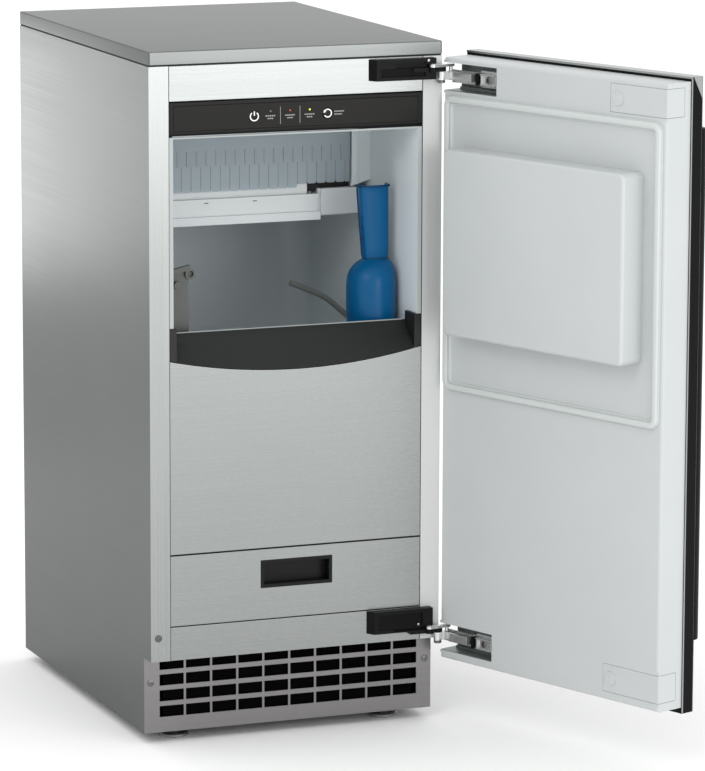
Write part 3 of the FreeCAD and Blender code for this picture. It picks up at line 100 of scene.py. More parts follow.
def add(tree: Tree, kind: str, inputs: dict | None = None, **settings: Any) -> Node:
    """Adds a node with its settings, its input values and its links.

    Args:
        tree: The material or geometry tree that gets the node.
        kind: The node's Blender type name.
        inputs: Input name or index to a value, or to the socket that feeds it.
        **settings: Attributes of the node, such as its operation.

    Returns:
        The new node.
    """
    node = tree.nodes.new(kind)
    for name, value in settings.items():
        setattr(node, name, value)
    for key, value in (inputs or {}).items():
        if isinstance(value, Socket):
            tree.links.new(value, node.inputs[key])
        else:
            node.inputs[key].default_value = value
    return node


# ---- finishes ----------------------------------------------------------------
class Grain(Enum):
    """The way a brushed or drawn surface runs."""

    ACROSS = (0.004, 1.0, 1.0)
    DEEP = (1.0, 0.004, 1.0)
    UPRIGHT = (1.0, 1.0, 0.004)


@dataclass(frozen=True)
class Finish:
    """A surface: what it is made of and how it was made."""

    name: str
    colour: str
    roughness: float = 0.5

    def material(self) -> bpy.types.Material:
        """Builds the material once and gives the same one after that."""
        made = bpy.data.materials.get(self.name)
        if made is None:
            made = bpy.data.materials.new(self.name)
            made.use_nodes = True
            tree = made.node_tree
            shader = tree.nodes["Principled BSDF"]
            shader.inputs["Base Color"].default_value = linear(self.colour)
            shader.inputs["Roughness"].default_value = self.roughness
            self.paint(tree, shader)
        return made

    def paint(self, tree: Tree, shader: Node) -> None:
        """Adds the pattern of the finish to the shader; each finish has its own."""

    def place(self, tree: Tree, scale: Sequence[float] = (1, 1, 1)) -> Socket:
        """Gives a coordinate in millimetres on the object, stretched by scale.

        Args:
            tree: The material's tree.
            scale: How much each axis is squeezed.

        Returns:
            The vector socket of the mapping.
        """
        here = add(tree, "ShaderNodeTexCoord")
        stretch = tuple(1000.0 * s for s in scale)
        mapping = add(tree, "ShaderNodeMapping", {"Vector": here.outputs["Object"], "Scale": stretch})
        return mapping.outputs["Vector"]

    def noise(self, tree: Tree, size_mm: float, detail: float = 2.0,
              scale: Sequence[float] = (1, 1, 1)) -> Socket:
        """A noise whose lumps are size_mm across.

        Args:
            tree: The material's tree.
            size_mm: Distance between lumps.
            detail: Octaves of finer noise.
            scale: Squeeze of each axis, for grain.

        Returns:
            The noise's value socket.
        """
        where = self.place(tree, scale)
        made = add(tree, "ShaderNodeTexNoise", {"Vector": where, "Scale": 1.0 / size_mm, "Detail": detail})
        return made.outputs["Fac"]

    def vary(self, tree: Tree, shader: Node, amount: Socket,
             dark: float, light: float) -> None:
        """Lets a value darken and lighten the base colour.

        Args:
            tree: The material's tree.
            shader: The shader whose colour varies.
            amount: The value from 0 to 1.
            dark: Factor on the colour at 0.
            light: Factor on the colour at 1.
        """
        base = linear(self.colour)
        low = tuple(min(1.0, c * dark) for c in base[:3]) + (1.0,)
        high = tuple(min(1.0, c * light) for c in base[:3]) + (1.0,)
        mix = add(tree, "ShaderNodeMix", {0: amount, 6: low, 7: high}, data_type="RGBA")
        tree.links.new(mix.outputs[2], shader.inputs["Base Color"])

    def rough(self, tree: Tree, shader: Node, amount: Socket,
              spread: float) -> None:
        """Lets a value raise and lower the roughness by spread."""
        low, high = self.roughness - spread, self.roughness + spread
        step = add(tree, "ShaderNodeMapRange", {"Value": amount, "To Min": low, "To Max": high})
        tree.links.new(step.outputs["Result"], shader.inputs["Roughness"])

    def bump(self, tree: Tree, shader: Node, height: Socket,
             depth_mm: float, strength: float = 0.5) -> None:
        """Raises the surface by a height pattern, depth_mm deep."""
        sizes = {"Height": height, "Distance": depth_mm * MM, "Strength": strength}
        made = add(tree, "ShaderNodeBump", sizes)
        tree.links.new(made.outputs["Normal"], shader.inputs["Normal"])


@dataclass(frozen=True)
class BrushedSteel(Finish):
    """Austenitic stainless sheet drawn past an abrasive belt: long fine lines, soft reflections."""

    grain: Grain = Grain.ACROSS
    spacing_mm: float = 1.6  # real lines are 0.1 mm apart; drawn coarser so that they show
    streak: float = 0.05
    metallic: float = 1.0
    edge: float = 1.0  # how much of the shine is left at a grazing view

    def paint(self, tree: Tree, shader: Node) -> None:
        """Streaks along the grain in colour, roughness and height, with a faint cloudiness."""
        shader.inputs["Metallic"].default_value = self.metallic
        shader.inputs["Specular Tint"].default_value = (self.edge, self.edge, self.edge, 1.0)
        lines = self.noise(tree, self.spacing_mm, 3.0, self.grain.value)
        clouds = self.noise(tree, 140.0, 1.0)
        both = add(tree, "ShaderNodeMath", {0: lines, 1: clouds}, operation="ADD")
        half = add(tree, "ShaderNodeMath", {0: both.outputs[0], 1: 0.5}, operation="MULTIPLY")
        self.vary(tree, shader, half.outputs[0], 1 - self.streak * 2, 1 + self.streak * 2)
        self.rough(tree, shader, lines, 0.06)
        self.bump(tree, shader, lines, 0.02, self.streak * 3)


@dataclass(frozen=True)
class Galvanised(Finish):
    """Hot-dip zinc on steel sheet: grey crystals a few millimetres across."""

    def paint(self, tree: Tree, shader: Node) -> None:
        """Angular spangle in colour and roughness."""
        shader.inputs["Metallic"].default_value = 0.9
        where = self.place(tree)
        cells = add(tree, "ShaderNodeTexVoronoi", {"Vector": where, "Scale": 1 / 9.0}, feature="F1")
        grey = add(tree, "ShaderNodeRGBToBW", {"Color": cells.outputs["Color"]})
        self.vary(tree, shader, grey.outputs["Val"], 0.8, 1.15)
        self.rough(tree, shader, grey.outputs["Val"], 0.1)


@dataclass(frozen=True)
class Moulded(Finish):
    """Injection-moulded or vacuum-formed plastic: even colour, a fine spark-eroded texture."""

    texture_mm: float = 0.9
    depth_mm: float = 0.03
    mottle: float = 0.03
    ior: float = 1.5

    def paint(self, tree: Tree, shader: Node) -> None:
        """Fine bumps, faint mottling and slightly uneven gloss."""
        shader.inputs["IOR"].default_value = self.ior
        broad = self.noise(tree, 90.0, 2.0)
        fine = self.noise(tree, self.texture_mm, 2.0)
        self.vary(tree, shader, broad, 1 - self.mottle, 1 + self.mottle)
        self.rough(tree, shader, broad, 0.04)
        self.bump(tree, shader, fine, self.depth_mm, 0.35)


@dataclass(frozen=True)
class GlossPlastic(Moulded):
    """Polished acrylic or ABS under a clear hard coat."""

    coat: float = 0.6

    def paint(self, tree: Tree, shader: Node) -> None:
        """The moulded pattern under a clear coat."""
        super().paint(tree, shader)
        shader.inputs["Coat Weight"].default_value = self.coat
        shader.inputs["Coat Roughness"].default_value = 0.06


@dataclass(frozen=True)
class PowderCoat(Moulded):
    """Polyester powder stoved on steel: an even satin film with a fine orange peel."""

    texture_mm: float = 1.6


@dataclass(frozen=True)
class Translucent(Moulded):
    """Tinted clear plastic: some light passes through and picks up the tint."""

    clarity: float = 0.5
    alpha: float = 1.0

    def paint(self, tree: Tree, shader: Node) -> None:
        """The moulded pattern with light let through."""
        super().paint(tree, shader)
        shader.inputs["Transmission Weight"].default_value = self.clarity
        shader.inputs["Alpha"].default_value = self.alpha


@dataclass(frozen=True)
class Metal(Finish):
    """Plated, cast or drawn bare metal: tight reflections broken by handling marks."""

    mark_mm: float = 6.0
    metallic: float = 1.0

    def paint(self, tree: Tree, shader: Node) -> None:
        """Soft marks in colour and roughness."""
        shader.inputs["Metallic"].default_value = self.metallic
        marks = self.noise(tree, self.mark_mm, 4.0)
        self.vary(tree, shader, marks, 0.85, 1.1)
        self.rough(tree, shader, marks, 0.08)
        self.bump(tree, shader, marks, 0.02, 0.2)


@dataclass(frozen=True)
class Enamel(Finish):
    """Stoved paint on pressed steel: orange peel and a soft gloss."""

    def paint(self, tree: Tree, shader: Node) -> None:
        """Orange peel and slight dust in the gloss."""
        peel = self.noise(tree, 1.8, 1.0)
        dust = self.noise(tree, 30.0, 5.0)
        self.vary(tree, shader, dust, 0.8, 1.3)
        self.rough(tree, shader, dust, 0.1)
        self.bump(tree, shader, peel, 0.03, 0.3)
        shader.inputs["Coat Weight"].default_value = 0.3
        shader.inputs["Coat Roughness"].default_value = 0.15


@dataclass(frozen=True)
class Fins(Finish):
    """Thin aluminium fins pressed onto tubes, seen as close upright lines."""

    def paint(self, tree: Tree, shader: Node) -> None:
        """Upright lines 3 mm apart, darkened between them as painted shade between the fins."""
        shader.inputs["Metallic"].default_value = 0.9
        where = self.place(tree)
        lines = {"Vector": where, "Scale": 0.33, "Distortion": 0.2}
        wave = add(tree, "ShaderNodeTexWave", lines, bands_direction="X")
        self.vary(tree, shader, wave.outputs["Fac"], 0.25, 1.1)
        self.bump(tree, shader, wave.outputs["Fac"], 0.6)


@dataclass(frozen=True)
class Foam(Finish):
    """Poured polyurethane foam: small closed cells and a dry surface."""

    def paint(self, tree: Tree, shader: Node) -> None:
        """Cells about 2 mm across."""
        where = self.place(tree)
        cells = add(tree, "ShaderNodeTexVoronoi", {"Vector": where, "Scale": 0.5})
        self.vary(tree, shader, cells.outputs["Distance"], 0.8, 1.1)
        self.bump(tree, shader, cells.outputs["Distance"], 0.6)


@dataclass(frozen=True)
class Board(Finish):
    """Glass-epoxy circuit board under green solder mask, with faint copper tracks."""

    def paint(self, tree: Tree, shader: Node) -> None:
        """A grid of tracks 3 mm wide."""
        where = self.place(tree, (1 / 9, 1 / 9, 1 / 3))
        bricks = add(tree, "ShaderNodeTexBrick", {
            "Vector": where, "Scale": 1.0, "Color1": linear("0f4a24"), "Color2": linear("134f2a"),
            "Mortar": linear("2f7a3f"),
        })
        tree.links.new(bricks.outputs["Color"], shader.inputs["Base Color"])
        shader.inputs["Coat Weight"].default_value = 0.4


@dataclass(frozen=True)
class Lamp(Finish):
    """Frosted light pipe lit from behind by a diode."""

    glow: float = 1.0

    def paint(self, tree: Tree, shader: Node) -> None:
        """An even glow with a frosted face."""
        frost = self.noise(tree, 0.7, 2.0)
        self.vary(tree, shader, frost, 0.85, 1.1)
        shader.inputs["Emission Color"].default_value = linear(self.colour)
        shader.inputs["Emission Strength"].default_value = self.glow


@dataclass(frozen=True)
class Paper(Finish):
    """Seamless studio paper: matt and nearly white."""

    def paint(self, tree: Tree, shader: Node) -> None:
        """The faintest fibre."""
        fibre = self.noise(tree, 40.0, 4.0)
        self.vary(tree, shader, fibre, 0.99, 1.01)


# Belt-brushed stainless sheet: mid grey, long fine lines, reflections smeared along the line.
STEEL = BrushedSteel("brushed_stainless_across", "929594", 0.27, streak=0.022)
STEEL_UP = BrushedSteel("brushed_stainless_upright", "969998", 0.27, grain=Grain.UPRIGHT)
# The flange beside the open door: a paler, mostly matt copy of the steel, painted light where the open door
# and its gasket would shade it and darken what it mirrors.
STEEL_HINGE_PAINTED_LIGHT = BrushedSteel("brushed_stainless_hinge_flange_painted_light", "c2c4c3", 0.45, grain=Grain.UPRIGHT,
                           metallic=0.2)
# Sides and top: darker copies of the steel, with less shine left at a grazing view, painted with the shade
# these faces show; the worktop's side faces darkest.
STEEL_SIDE = BrushedSteel("brushed_stainless_deep", "626564", 0.32, grain=Grain.DEEP, edge=0.8)
STEEL_TOP = BrushedSteel("brushed_stainless_top", "6c6f6e", 0.32, grain=Grain.ACROSS, edge=0.72)
STEEL_EDGE = BrushedSteel("brushed_stainless_top_edge", "6a6c6b", 0.34, grain=Grain.DEEP, edge=0.6)
# The worktop's front fold, brushed along its length: a copy painted a step brighter than the top, as painted
# light.
STEEL_BRIM = BrushedSteel("brushed_stainless_top_fold", "727574", 0.3, edge=0.8)
# Punched plate: the same steel, a little warmer, and painted darker as the shade near the floor.
STEEL_KICK = BrushedSteel("brushed_stainless_kick", "848282", 0.30)
# Folded top edge of the door skin: a paler copy of the steel, painted lighter for the light from above.
STEEL_FOLD = BrushedSteel("brushed_stainless_fold", "a5a7a7", 0.35)
# Hot-dip zinc: dull grey crystals.
ZINC = Galvanised("galvanised_sheet", "8b8f90", 0.45)
# Electroplated zinc: soft grey metal without crystals.
ZINC_PLATE = Metal("zinc_plated_steel", "9a9b98", 0.38)
# The hinge pocket's pressed plate: the same plating in shade, slightly green.
ZINC_DEEP = Metal("zinc_plated_pocket", "7f8784", 0.42, metallic=0.6)
# Bright nickel: almost white metal with crisp highlights.
NICKEL = Metal("nickel_plated_steel", "d6d8d8", 0.22, mark_mm=3.0, metallic=0.82)
# Machined stainless screws: darker than the plating, sharp glints in the cross.
SCREW = Metal("stainless_screw", "747472", 0.3)
# Tinned copper: pinkish metal, soft shine.
COPPER = Metal("tinned_copper", "b08a72", 0.3)
# Free-turning brass: yellow, tight shine.
BRASS = Metal("turned_brass", "b89a5a", 0.3)
# Vacuum-formed high-impact polystyrene: cool off-white, satin, shadows stay soft.
DOOR_WHITE = Moulded("vacuum_formed_white", "b8bcbc", 0.42)
BIN_WHITE = Moulded("vacuum_formed_bin", "d6dddf", 0.4)
# The liner's front-facing rim: greyer than the bin.
LINER_RIM = Moulded("vacuum_formed_rim", "a4a9a9", 0.5)
# Moulded ABS tray and slide: white, satin.
SUMP_WHITE = Moulded("moulded_sump", "d2d6d7", 0.42)
# Black ABS: nearly no colour, a faint sheen on the rounded edges.
BLACK = Moulded("black_moulding", "0b0b0c", 0.38, ior=1.28)
# The handle's steel tube, coloured near black: dark, with one soft line of light.
HANDLE_BLACK = PowderCoat("near_black_handle_tube", "09090a", 0.42, ior=1.22)
# Textured black PVC of the sill: dark grey where light grazes it.
SILL_BLACK = Moulded("black_sill_moulding", "181919", 0.42, ior=1.36)
# Matt black: painted shade on the door's edge frame and the skin's free edge, where the steel edge lies in
# shade, and on the brackets' recess floors; the arm clips' own colour.
BLACK_AND_PAINTED_SHADE = Moulded("black_moulding_and_painted_shade", "060607", 0.5, ior=1.2)
# Glass-filled nylon hinge brackets: black, dull.
BRACKET_BLACK = Moulded("black_nylon_bracket", "0b0b0c", 0.42, ior=1.22)
# EPDM rubber: matt black without shine; also painted shade in the gaps beside the front panels, the gap under
# the worktop, the slot behind the curtain and the tray's notches.
SEAL_BLACK_AND_SHADE = Moulded("black_rubber_and_painted_shade", "0b0b0c", 0.7)
# Non-woven dust filter: black felt that swallows light; its black also paints the shade seen through the
# louvres.
FILTER_BLACK_AND_SHADE = Moulded("black_filter_felt_and_painted_shade", "040404", 0.95, texture_mm=1.5, depth_mm=0.2, ior=1.1)
# Back-printed acrylic: smooth brown-black that mirrors a soft window.
FASCIA = GlossPlastic("fascia_acrylic", "151410", 0.22, ior=1.22, coat=0.0)
BUTTON = GlossPlastic("button_acrylic", "151410", 0.25, ior=1.22, coat=0.0)
# Screen-print ink: opaque, matt; the small label bars are thinner and greyer.
PRINT = Moulded("white_print", "e8e8e6", 0.6)
PRINT_THIN = Moulded("thin_white_print", "9a9a95", 0.6)
# Pale grey bead on the sill's lip and the housing's lower edge: a painted highlight line.
LIP_PAINTED_HIGHLIGHT = Moulded("sill_lip_painted_highlight", "8f9594", 0.35)
# Plasticised PVC: soft white, slightly waxy.
GASKET = Moulded("soft_vinyl_gasket", "bec3c2", 0.5)
# Clear blue-grey PVC sheet: milky, shows what is behind it as a shade.
CURTAIN = Translucent("curtain_vinyl", "b4c2c9", 0.42, clarity=0.35, alpha=0.82)
# Tinted polycarbonate: deep blue with soft white glints.
BLUE = Translucent("blue_polycarbonate", "005281", 0.3, clarity=0.08, depth_mm=0.0, ior=1.28)
# A darker copy of the same plastic: painted shade along the scoop's edges, rim, neck crease and grips, for
# the dark outline its full depth shows edge-on.
BLUE_EDGE_SHADE = Moulded("blue_polycarbonate_painted_edge_shade", "003459", 0.3, depth_mm=0.0, ior=1.3)
# Silicone sleeve, plug and holder mouldings: plain greys.
PROBE = Moulded("grey_probe_sleeve", "7d817c", 0.45)
PLUG_GREY = Moulded("grey_plug", "505155", 0.4)
HOLDER = Moulded("dark_holder_moulding", "4a4d49", 0.45)
# Cathodic dip paint: thin black film over steel, low gloss; on the base pan its black also paints the shade
# behind the louvres.
E_COAT_AND_SHADE = Enamel("black_e_coat_and_painted_shade", "131313", 0.38)
# Stoved enamel on the compressor and the motor: orange peel, soft gloss.
SHELL = Enamel("black_compressor_enamel", "111112", 0.3)
MOTOR = Enamel("grey_motor_enamel", "55585c", 0.4)
# Glass-filled polypropylene: dark grey, dull.
PUMP = Moulded("dark_pump_moulding", "34373a", 0.5)
# PVC hose: cloudy white.
HOSE = Moulded("vinyl_hose", "b9bdbc", 0.4)
# Aluminium fins coloured near black, painted shade behind the louvres: fine upright lines.
FIN_SHADE_BLACK = Fins("near_black_fins_painted_shade", "1a1b1c", 0.5)
# Poured polyurethane: straw-coloured, dry and cellular.
FOAM = Foam("poured_foam", "d8c07a", 0.9)
# Solder mask: glossy green with fine tracks.
BOARD = Board("green_circuit_board", "134f2a", 0.4)
# Light pipes: frosted plastic, unlit, dim red and yellow-green.
LAMP_OFF = Lamp("dark_light_pipe", "5c5c55", 0.3, 0.0)
LAMP_RED = Lamp("red_light_pipe", "93301f", 0.3, 0.55)
LAMP_GREEN = Lamp("yellow_green_light_pipe", "b3bd3a", 0.3, 1.0)
# Background paper: nearly white, matt.
PAPER = Paper("studio_paper", "fafafa", 0.9)


# ---- mesh tools --------------------------------------------------------------
def mesh_piece(name: str, verts: Iterable[Sequence[float]], faces: Iterable[Sequence[int]], finish: Finish,
               place: Matrix | None = None, smooth_deg: float = 35.0) -> Piece:
    """Makes an object from points in millimetres, with its place in its mesh.

    Args:
        name: The piece's name.
        verts: Points in millimetres.
        faces: Corner indices of each face.
        finish: Its surface.
        place: A turn or move in millimetres, such as the door's opening.
        smooth_deg: Edges flatter than this are shaded smooth.

    Returns:
        The new object, linked to the scene.
    """
    mesh = bpy.data.meshes.new(name)
    mesh.from_pydata([Vector(v) for v in verts], [], [list(f) for f in faces])
    work = bmesh.new()
    work.from_mesh(mesh)
    bmesh.ops.remove_doubles(work, verts=work.verts, dist=0.001)
    bmesh.ops.recalc_face_normals(work, faces=work.faces)
    if place is not None:
        bmesh.ops.transform(work, matrix=place, verts=work.verts)
    bmesh.ops.scale(work, vec=(MM, MM, MM), verts=work.verts)
    soften_edges(work, smooth_deg)
    work.to_mesh(mesh)
    work.free()
    mesh.materials.append(finish.material())
    made = bpy.data.objects.new(name, mesh)
    bpy.context.scene.collection.objects.link(made)
    return made


def soften_edges(work: bmesh.types.BMesh, smooth_deg: float) -> None:
    """Shades every face smooth and keeps the edges sharper than smooth_deg crisp."""
    limit = math.radians(smooth_deg)
    for face in work.faces:
        face.smooth = True
    for edge in work.edges:
        edge.smooth = len(edge.link_faces) == 2 and edge.calc_face_angle(0.0) < limit


def baked(piece: Piece) -> Piece:
    """Turns a piece's modifiers into its own mesh and removes them."""
    graph = bpy.context.evaluated_depsgraph_get()
    mesh = bpy.data.meshes.new_from_object(piece.evaluated_get(graph))
    piece.modifiers.clear()
    piece.data = mesh
    mesh.name = piece.name
    return piece


def bevelled(piece: Piece, width_mm: float, segments: int = 2, angle_deg: float = 35.0) -> Piece:
    """Rounds a piece's sharp edges.

    Args:
        piece: The mesh object.
        width_mm: Width of the rounding.
        segments: Facets across it.
        angle_deg: Edges sharper than this are rounded.

    Returns:
        The same object with the rounding in its mesh.
    """
    made = piece.modifiers.new("round", "BEVEL")
    made.width = width_mm * MM
    made.segments = segments
    made.limit_method = "ANGLE"
    made.angle_limit = math.radians(angle_deg)
    made.harden_normals = True
    made.use_clamp_overlap = True
    return baked(piece)


def loft(rings: Sequence[Sequence[Point]], close: bool = True, caps: bool = True) -> Shape:
    """Joins rings of equal length into a skin.

    Args:
        rings: Rings of points, in order.
        close: Whether each ring closes on itself.
        caps: Whether the first and last rings are filled.

    Returns:
        The points and the faces.
    """
    verts = [p for ring in rings for p in ring]
    n = len(rings[0])
    faces = []
    last = n if close else n - 1
    for r in range(len(rings) - 1):
        for i in range(last):
            j = (i + 1) % n
            faces.append([r * n + i, r * n + j, (r + 1) * n + j, (r + 1) * n + i])
    if caps:
        faces.append(list(range(n))[::-1])
        faces.append([(len(rings) - 1) * n + i for i in range(n)])
    return verts, faces


def circle(centre: Point, radius: float, u: Vector, v: Vector, count: int = 32) -> list[Point]:
    """Points round a circle in the plane of u and v."""
    ring = []
    for i in range(count):
        a = math.tau * i / count
        ring.append(tuple(Vector(centre) + u * (radius * math.cos(a)) + v * (radius * math.sin(a))))
    return ring


def turned(profile: Sequence[Pair], centre: Point, axis: Point = (0, 0, 1),
           count: int = 40) -> Shape:
    """A turned solid: radius and distance pairs spun about an axis.

    Args:
        profile: Pairs of radius and distance along the axis.
        centre: Where the axis starts.
        axis: The axis direction.
        count: Facets round it.

    Returns:
        The points and the faces.
    """
    along = Vector(axis).normalized()
    u = along.orthogonal().normalized()
    v = along.cross(u)
    rings = [circle(tuple(Vector(centre) + along * d), max(r, 0.01), u, v, count) for r, d in profile]
    return loft(rings)


def tube(path: Sequence[Point], radius: float, count: int = 14) -> Shape:
    """A round tube along a path of points."""
    points = [Vector(p) for p in path]
    rings = []
    normal = (points[1] - points[0]).orthogonal().normalized()
    for i, p in enumerate(points):
        ahead = points[min(i + 1, len(points) - 1)] - points[max(i - 1, 0)]
        ahead.normalize()
        normal = (normal - ahead * normal.dot(ahead)).normalized()
        rings.append(circle(tuple(p), radius, normal, ahead.cross(normal), count))
    return loft(rings)


def smooth_path(points: Sequence[Point], steps: int = 8) -> list[Point]:
    """A smooth curve through a few points, with steps pieces between each pair."""
    p = [Vector(q) for q in points]
    p = [p[0] * 2 - p[1]] + p + [p[-1] * 2 - p[-2]]
    out = []
    for i in range(1, len(p) - 2):
        for k in range(steps):
            t = k / steps
            a, b, c, d = p[i - 1], p[i], p[i + 1], p[i + 2]
            bend = (2 * a - 5 * b + 4 * c - d) * t * t + (3 * b - a - 3 * c + d) * t ** 3
            out.append(tuple(0.5 * (2 * b + (c - a) * t + bend)))
    out.append(tuple(p[-2]))
    return out


def seed_mesh(name: str, verts: Iterable[Point], faces: Iterable[Sequence[int]]) -> bpy.types.Mesh:
    """A bare mesh in metres, from points in millimetres, for a tree to repeat."""
    mesh = bpy.data.meshes.new(name)
    mesh.from_pydata([Vector(v) * MM for v in verts], [], [list(f) for f in faces])
    return mesh


def slab(x: Pair, y: Pair, z: Pair) -> Shape:
    """A block between two corners."""
    low = [(x[0], y[0], z[0]), (x[1], y[0], z[0]), (x[1], y[1], z[0]), (x[0], y[1], z[0])]
    high = [(a, b, z[1]) for a, b, _ in low]
    return loft([low, high])


def several(parts: Iterable[Shape]) -> Shape:
    """Several shapes put in one list of points and faces."""
    verts: list[Point] = []
    faces: list[list[int]] = []
    for points, corners in parts:
        start = len(verts)
        verts += list(points)
        faces += [[start + i for i in face] for face in corners]
    return verts, faces


# ---- geometry trees ----------------------------------------------------------
class Pattern:
    """A geometry tree with named sizes that makes what repeats."""

    def __init__(self, name: str) -> None:
        """Starts an empty tree.

        Args:
            name: The tree's name.
        """
        self.tree = bpy.data.node_groups.new(name, "GeometryNodeTree")
        for way in ("INPUT", "OUTPUT"):
            self.tree.interface.new_socket("Geometry", in_out=way, socket_type="NodeSocketGeometry")
        self.entry = self.tree.nodes.new("NodeGroupInput")
        self.exit = self.tree.nodes.new("NodeGroupOutput")

    def size(self, name: str, value: Any, kind: str = "NodeSocketFloat") -> Socket:
        """Adds a named input with its usual value and gives its socket."""
        made = self.tree.interface.new_socket(name, in_out="INPUT", socket_type=kind)
        made.default_value = value
        return self.entry.outputs[name]

    def add(self, kind: str, inputs: dict | None = None, **settings: Any) -> Socket:
        """Adds a node to this tree and gives its first output."""
        return add(self.tree, kind, inputs, **settings).outputs[0]

    def math(self, operation: str, a: Any, b: Any = 0.0) -> Socket:
        """The result of a sum on two values."""
        return self.add("ShaderNodeMath", {0: a, 1: b}, operation=operation)

    def xyz(self, x: Any = 0.0, y: Any = 0.0, z: Any = 0.0) -> Socket:
        """A vector from three values."""
        return self.add("ShaderNodeCombineXYZ", {0: x, 1: y, 2: z})

    def placed(self, shape: Socket, **inputs: Any) -> Socket:
        """A shape moved, turned or scaled, by the inputs named for the node's own."""
        return self.add("GeometryNodeTransform", {"Geometry": shape, **inputs})

    def upright(self, shape: Socket) -> Socket:
        """A flat shape turned to face the front."""
        return self.placed(shape, Rotation=(math.radians(90), 0, 0))

    def joined(self, *shapes: Socket) -> Socket:
        """Several shapes as one."""
        node = add(self.tree, "GeometryNodeJoinGeometry")
        for shape in shapes:
            self.tree.links.new(shape, node.inputs[0])
        return node.outputs[0]

    def solid(self, operation: str, first: Socket | None, *others: Socket) -> Socket:
        """A union of the others, or the first one less the others."""
        given = {"Mesh 1": first} if first is not None else None
        node = add(self.tree, "GeometryNodeMeshBoolean", given, operation=operation)
        for shape in others:
            self.tree.links.new(shape, node.inputs[1])
        return node.outputs[0]

    def rectangle(self, width: Socket, height: Socket, radius: Socket | None = None,
                  steps: int = 3) -> Socket:
        """The outline of a rectangle, with rounded corners where a radius is given."""
        line = self.add("GeometryNodeCurvePrimitiveQuadrilateral", {"Width": width, "Height": height})
        if radius is None:
            return line
        corners = {"Curve": line, "Radius": radius, "Count": steps}
        return self.add("GeometryNodeFilletCurve", corners, mode="POLY")

    def thickened(self, flat: Socket, thick: Socket, weld: float) -> Socket:
        """A flat face made a closed sheet.

        Args:
            flat: The face.
            thick: How thick the sheet is.
            weld: Distance within which the front's and the back's edges are merged.

        Returns:
            The sheet.
        """
        push = {"Mesh": flat, "Offset Scale": thick, "Individual": False}
        raised = self.add("GeometryNodeExtrudeMesh", push)
        back = self.add("GeometryNodeFlipFaces", {0: flat})
        both = self.joined(raised, back)
        return self.add("GeometryNodeMergeByDistance", {"Geometry": both, "Distance": weld})

    def repeated(self, points: Socket, shape: Socket, **inputs: Any) -> Socket:
        """A shape at each point."""
        return self.add("GeometryNodeInstanceOnPoints", {"Points": points, "Instance": shape, **inputs})

    def close(self, shape: Socket, finish: Finish) -> Pattern:
        """Ends the tree: instances made real, then the material."""
        real = self.add("GeometryNodeRealizeInstances", {"Geometry": shape})
        dressed = self.add("GeometryNodeSetMaterial", {"Geometry": real, "Material": finish.material()})
        self.tree.links.new(dressed, self.exit.inputs[0])
        return self

    def grow(self, name: str, sizes: dict[str, Any], points: Sequence[Point] = ((0, 0, 0),),
             seed: bpy.types.Mesh | None = None, place: Matrix | None = None) -> Piece:
        """Runs the tree once and keeps its result as a plain mesh.

        Args:
            name: The new piece's name.
            sizes: Input name to value, in metres or counts.
            points: Where things go, in millimetres, for a tree that reads them.
            seed: A mesh that the tree repeats, instead of the points.
            place: A turn or move in metres for the result.

        Returns:
            The new object.
        """
        mesh = seed
        if mesh is None:
            mesh = seed_mesh(name, points, [])
        piece = bpy.data.objects.new(name, mesh)
        bpy.context.scene.collection.objects.link(piece)
        made = piece.modifiers.new("grow", "NODES")
        made.node_group = self.tree
        for item in self.tree.interface.items_tree:
            if item.in_out == "INPUT" and item.name in sizes:
                made[item.identifier] = sizes[item.name]
        baked(piece)
        if place is not None:
            piece.data.transform(place)
        return piece


def sheet_of_slots(finish: Finish) -> Pattern:
    """A flat plate with a grid of slots, facing the front."""
    p = Pattern("sheet_of_slots")
    cols = p.size("Columns", 10, "NodeSocketInt")
    rows = p.size("Rows", 4, "NodeSocketInt")
    pitch_x = p.size("Pitch X", 0.034)
    pitch_z = p.size("Pitch Z", 0.02)
    slot_x = p.size("Slot Width", 0.03)
    slot_z = p.size("Slot Height", 0.014)
    corner = p.size("Corner", 0.0006)
    width = p.size("Plate Width", 0.378)
    height = p.size("Plate Height", 0.095)
    drop = p.size("Plate Drop", 0.0)
    thick = p.size("Thickness", 0.0012)
    weld = 0.00005
    hole = p.rectangle(slot_x, slot_z, corner)
    tile = p.add("GeometryNodeFillCurve", {0: p.joined(p.rectangle(pitch_x, pitch_z), hole)})
    span_x = p.math("MULTIPLY", p.math("SUBTRACT", cols, 1.0), pitch_x)
    span_z = p.math("MULTIPLY", p.math("SUBTRACT", rows, 1.0), pitch_z)
    grid = p.add("GeometryNodeMeshGrid",
                 {"Size X": span_x, "Size Y": span_z, "Vertices X": cols, "Vertices Y": rows})
    outer = p.placed(p.rectangle(width, height), Translation=p.xyz(0.0, drop, 0.0))
    inner = p.rectangle(p.math("MULTIPLY", cols, pitch_x), p.math("MULTIPLY", rows, pitch_z))
    rim = p.add("GeometryNodeFillCurve", {0: p.joined(outer, inner)})
    flat = p.add("GeometryNodeRealizeInstances", {0: p.joined(p.repeated(grid, tile), rim)})
    flat = p.add("GeometryNodeMergeByDistance", {"Geometry": flat, "Distance": weld})
    return p.close(p.upright(p.thickened(flat, thick, weld)), finish)


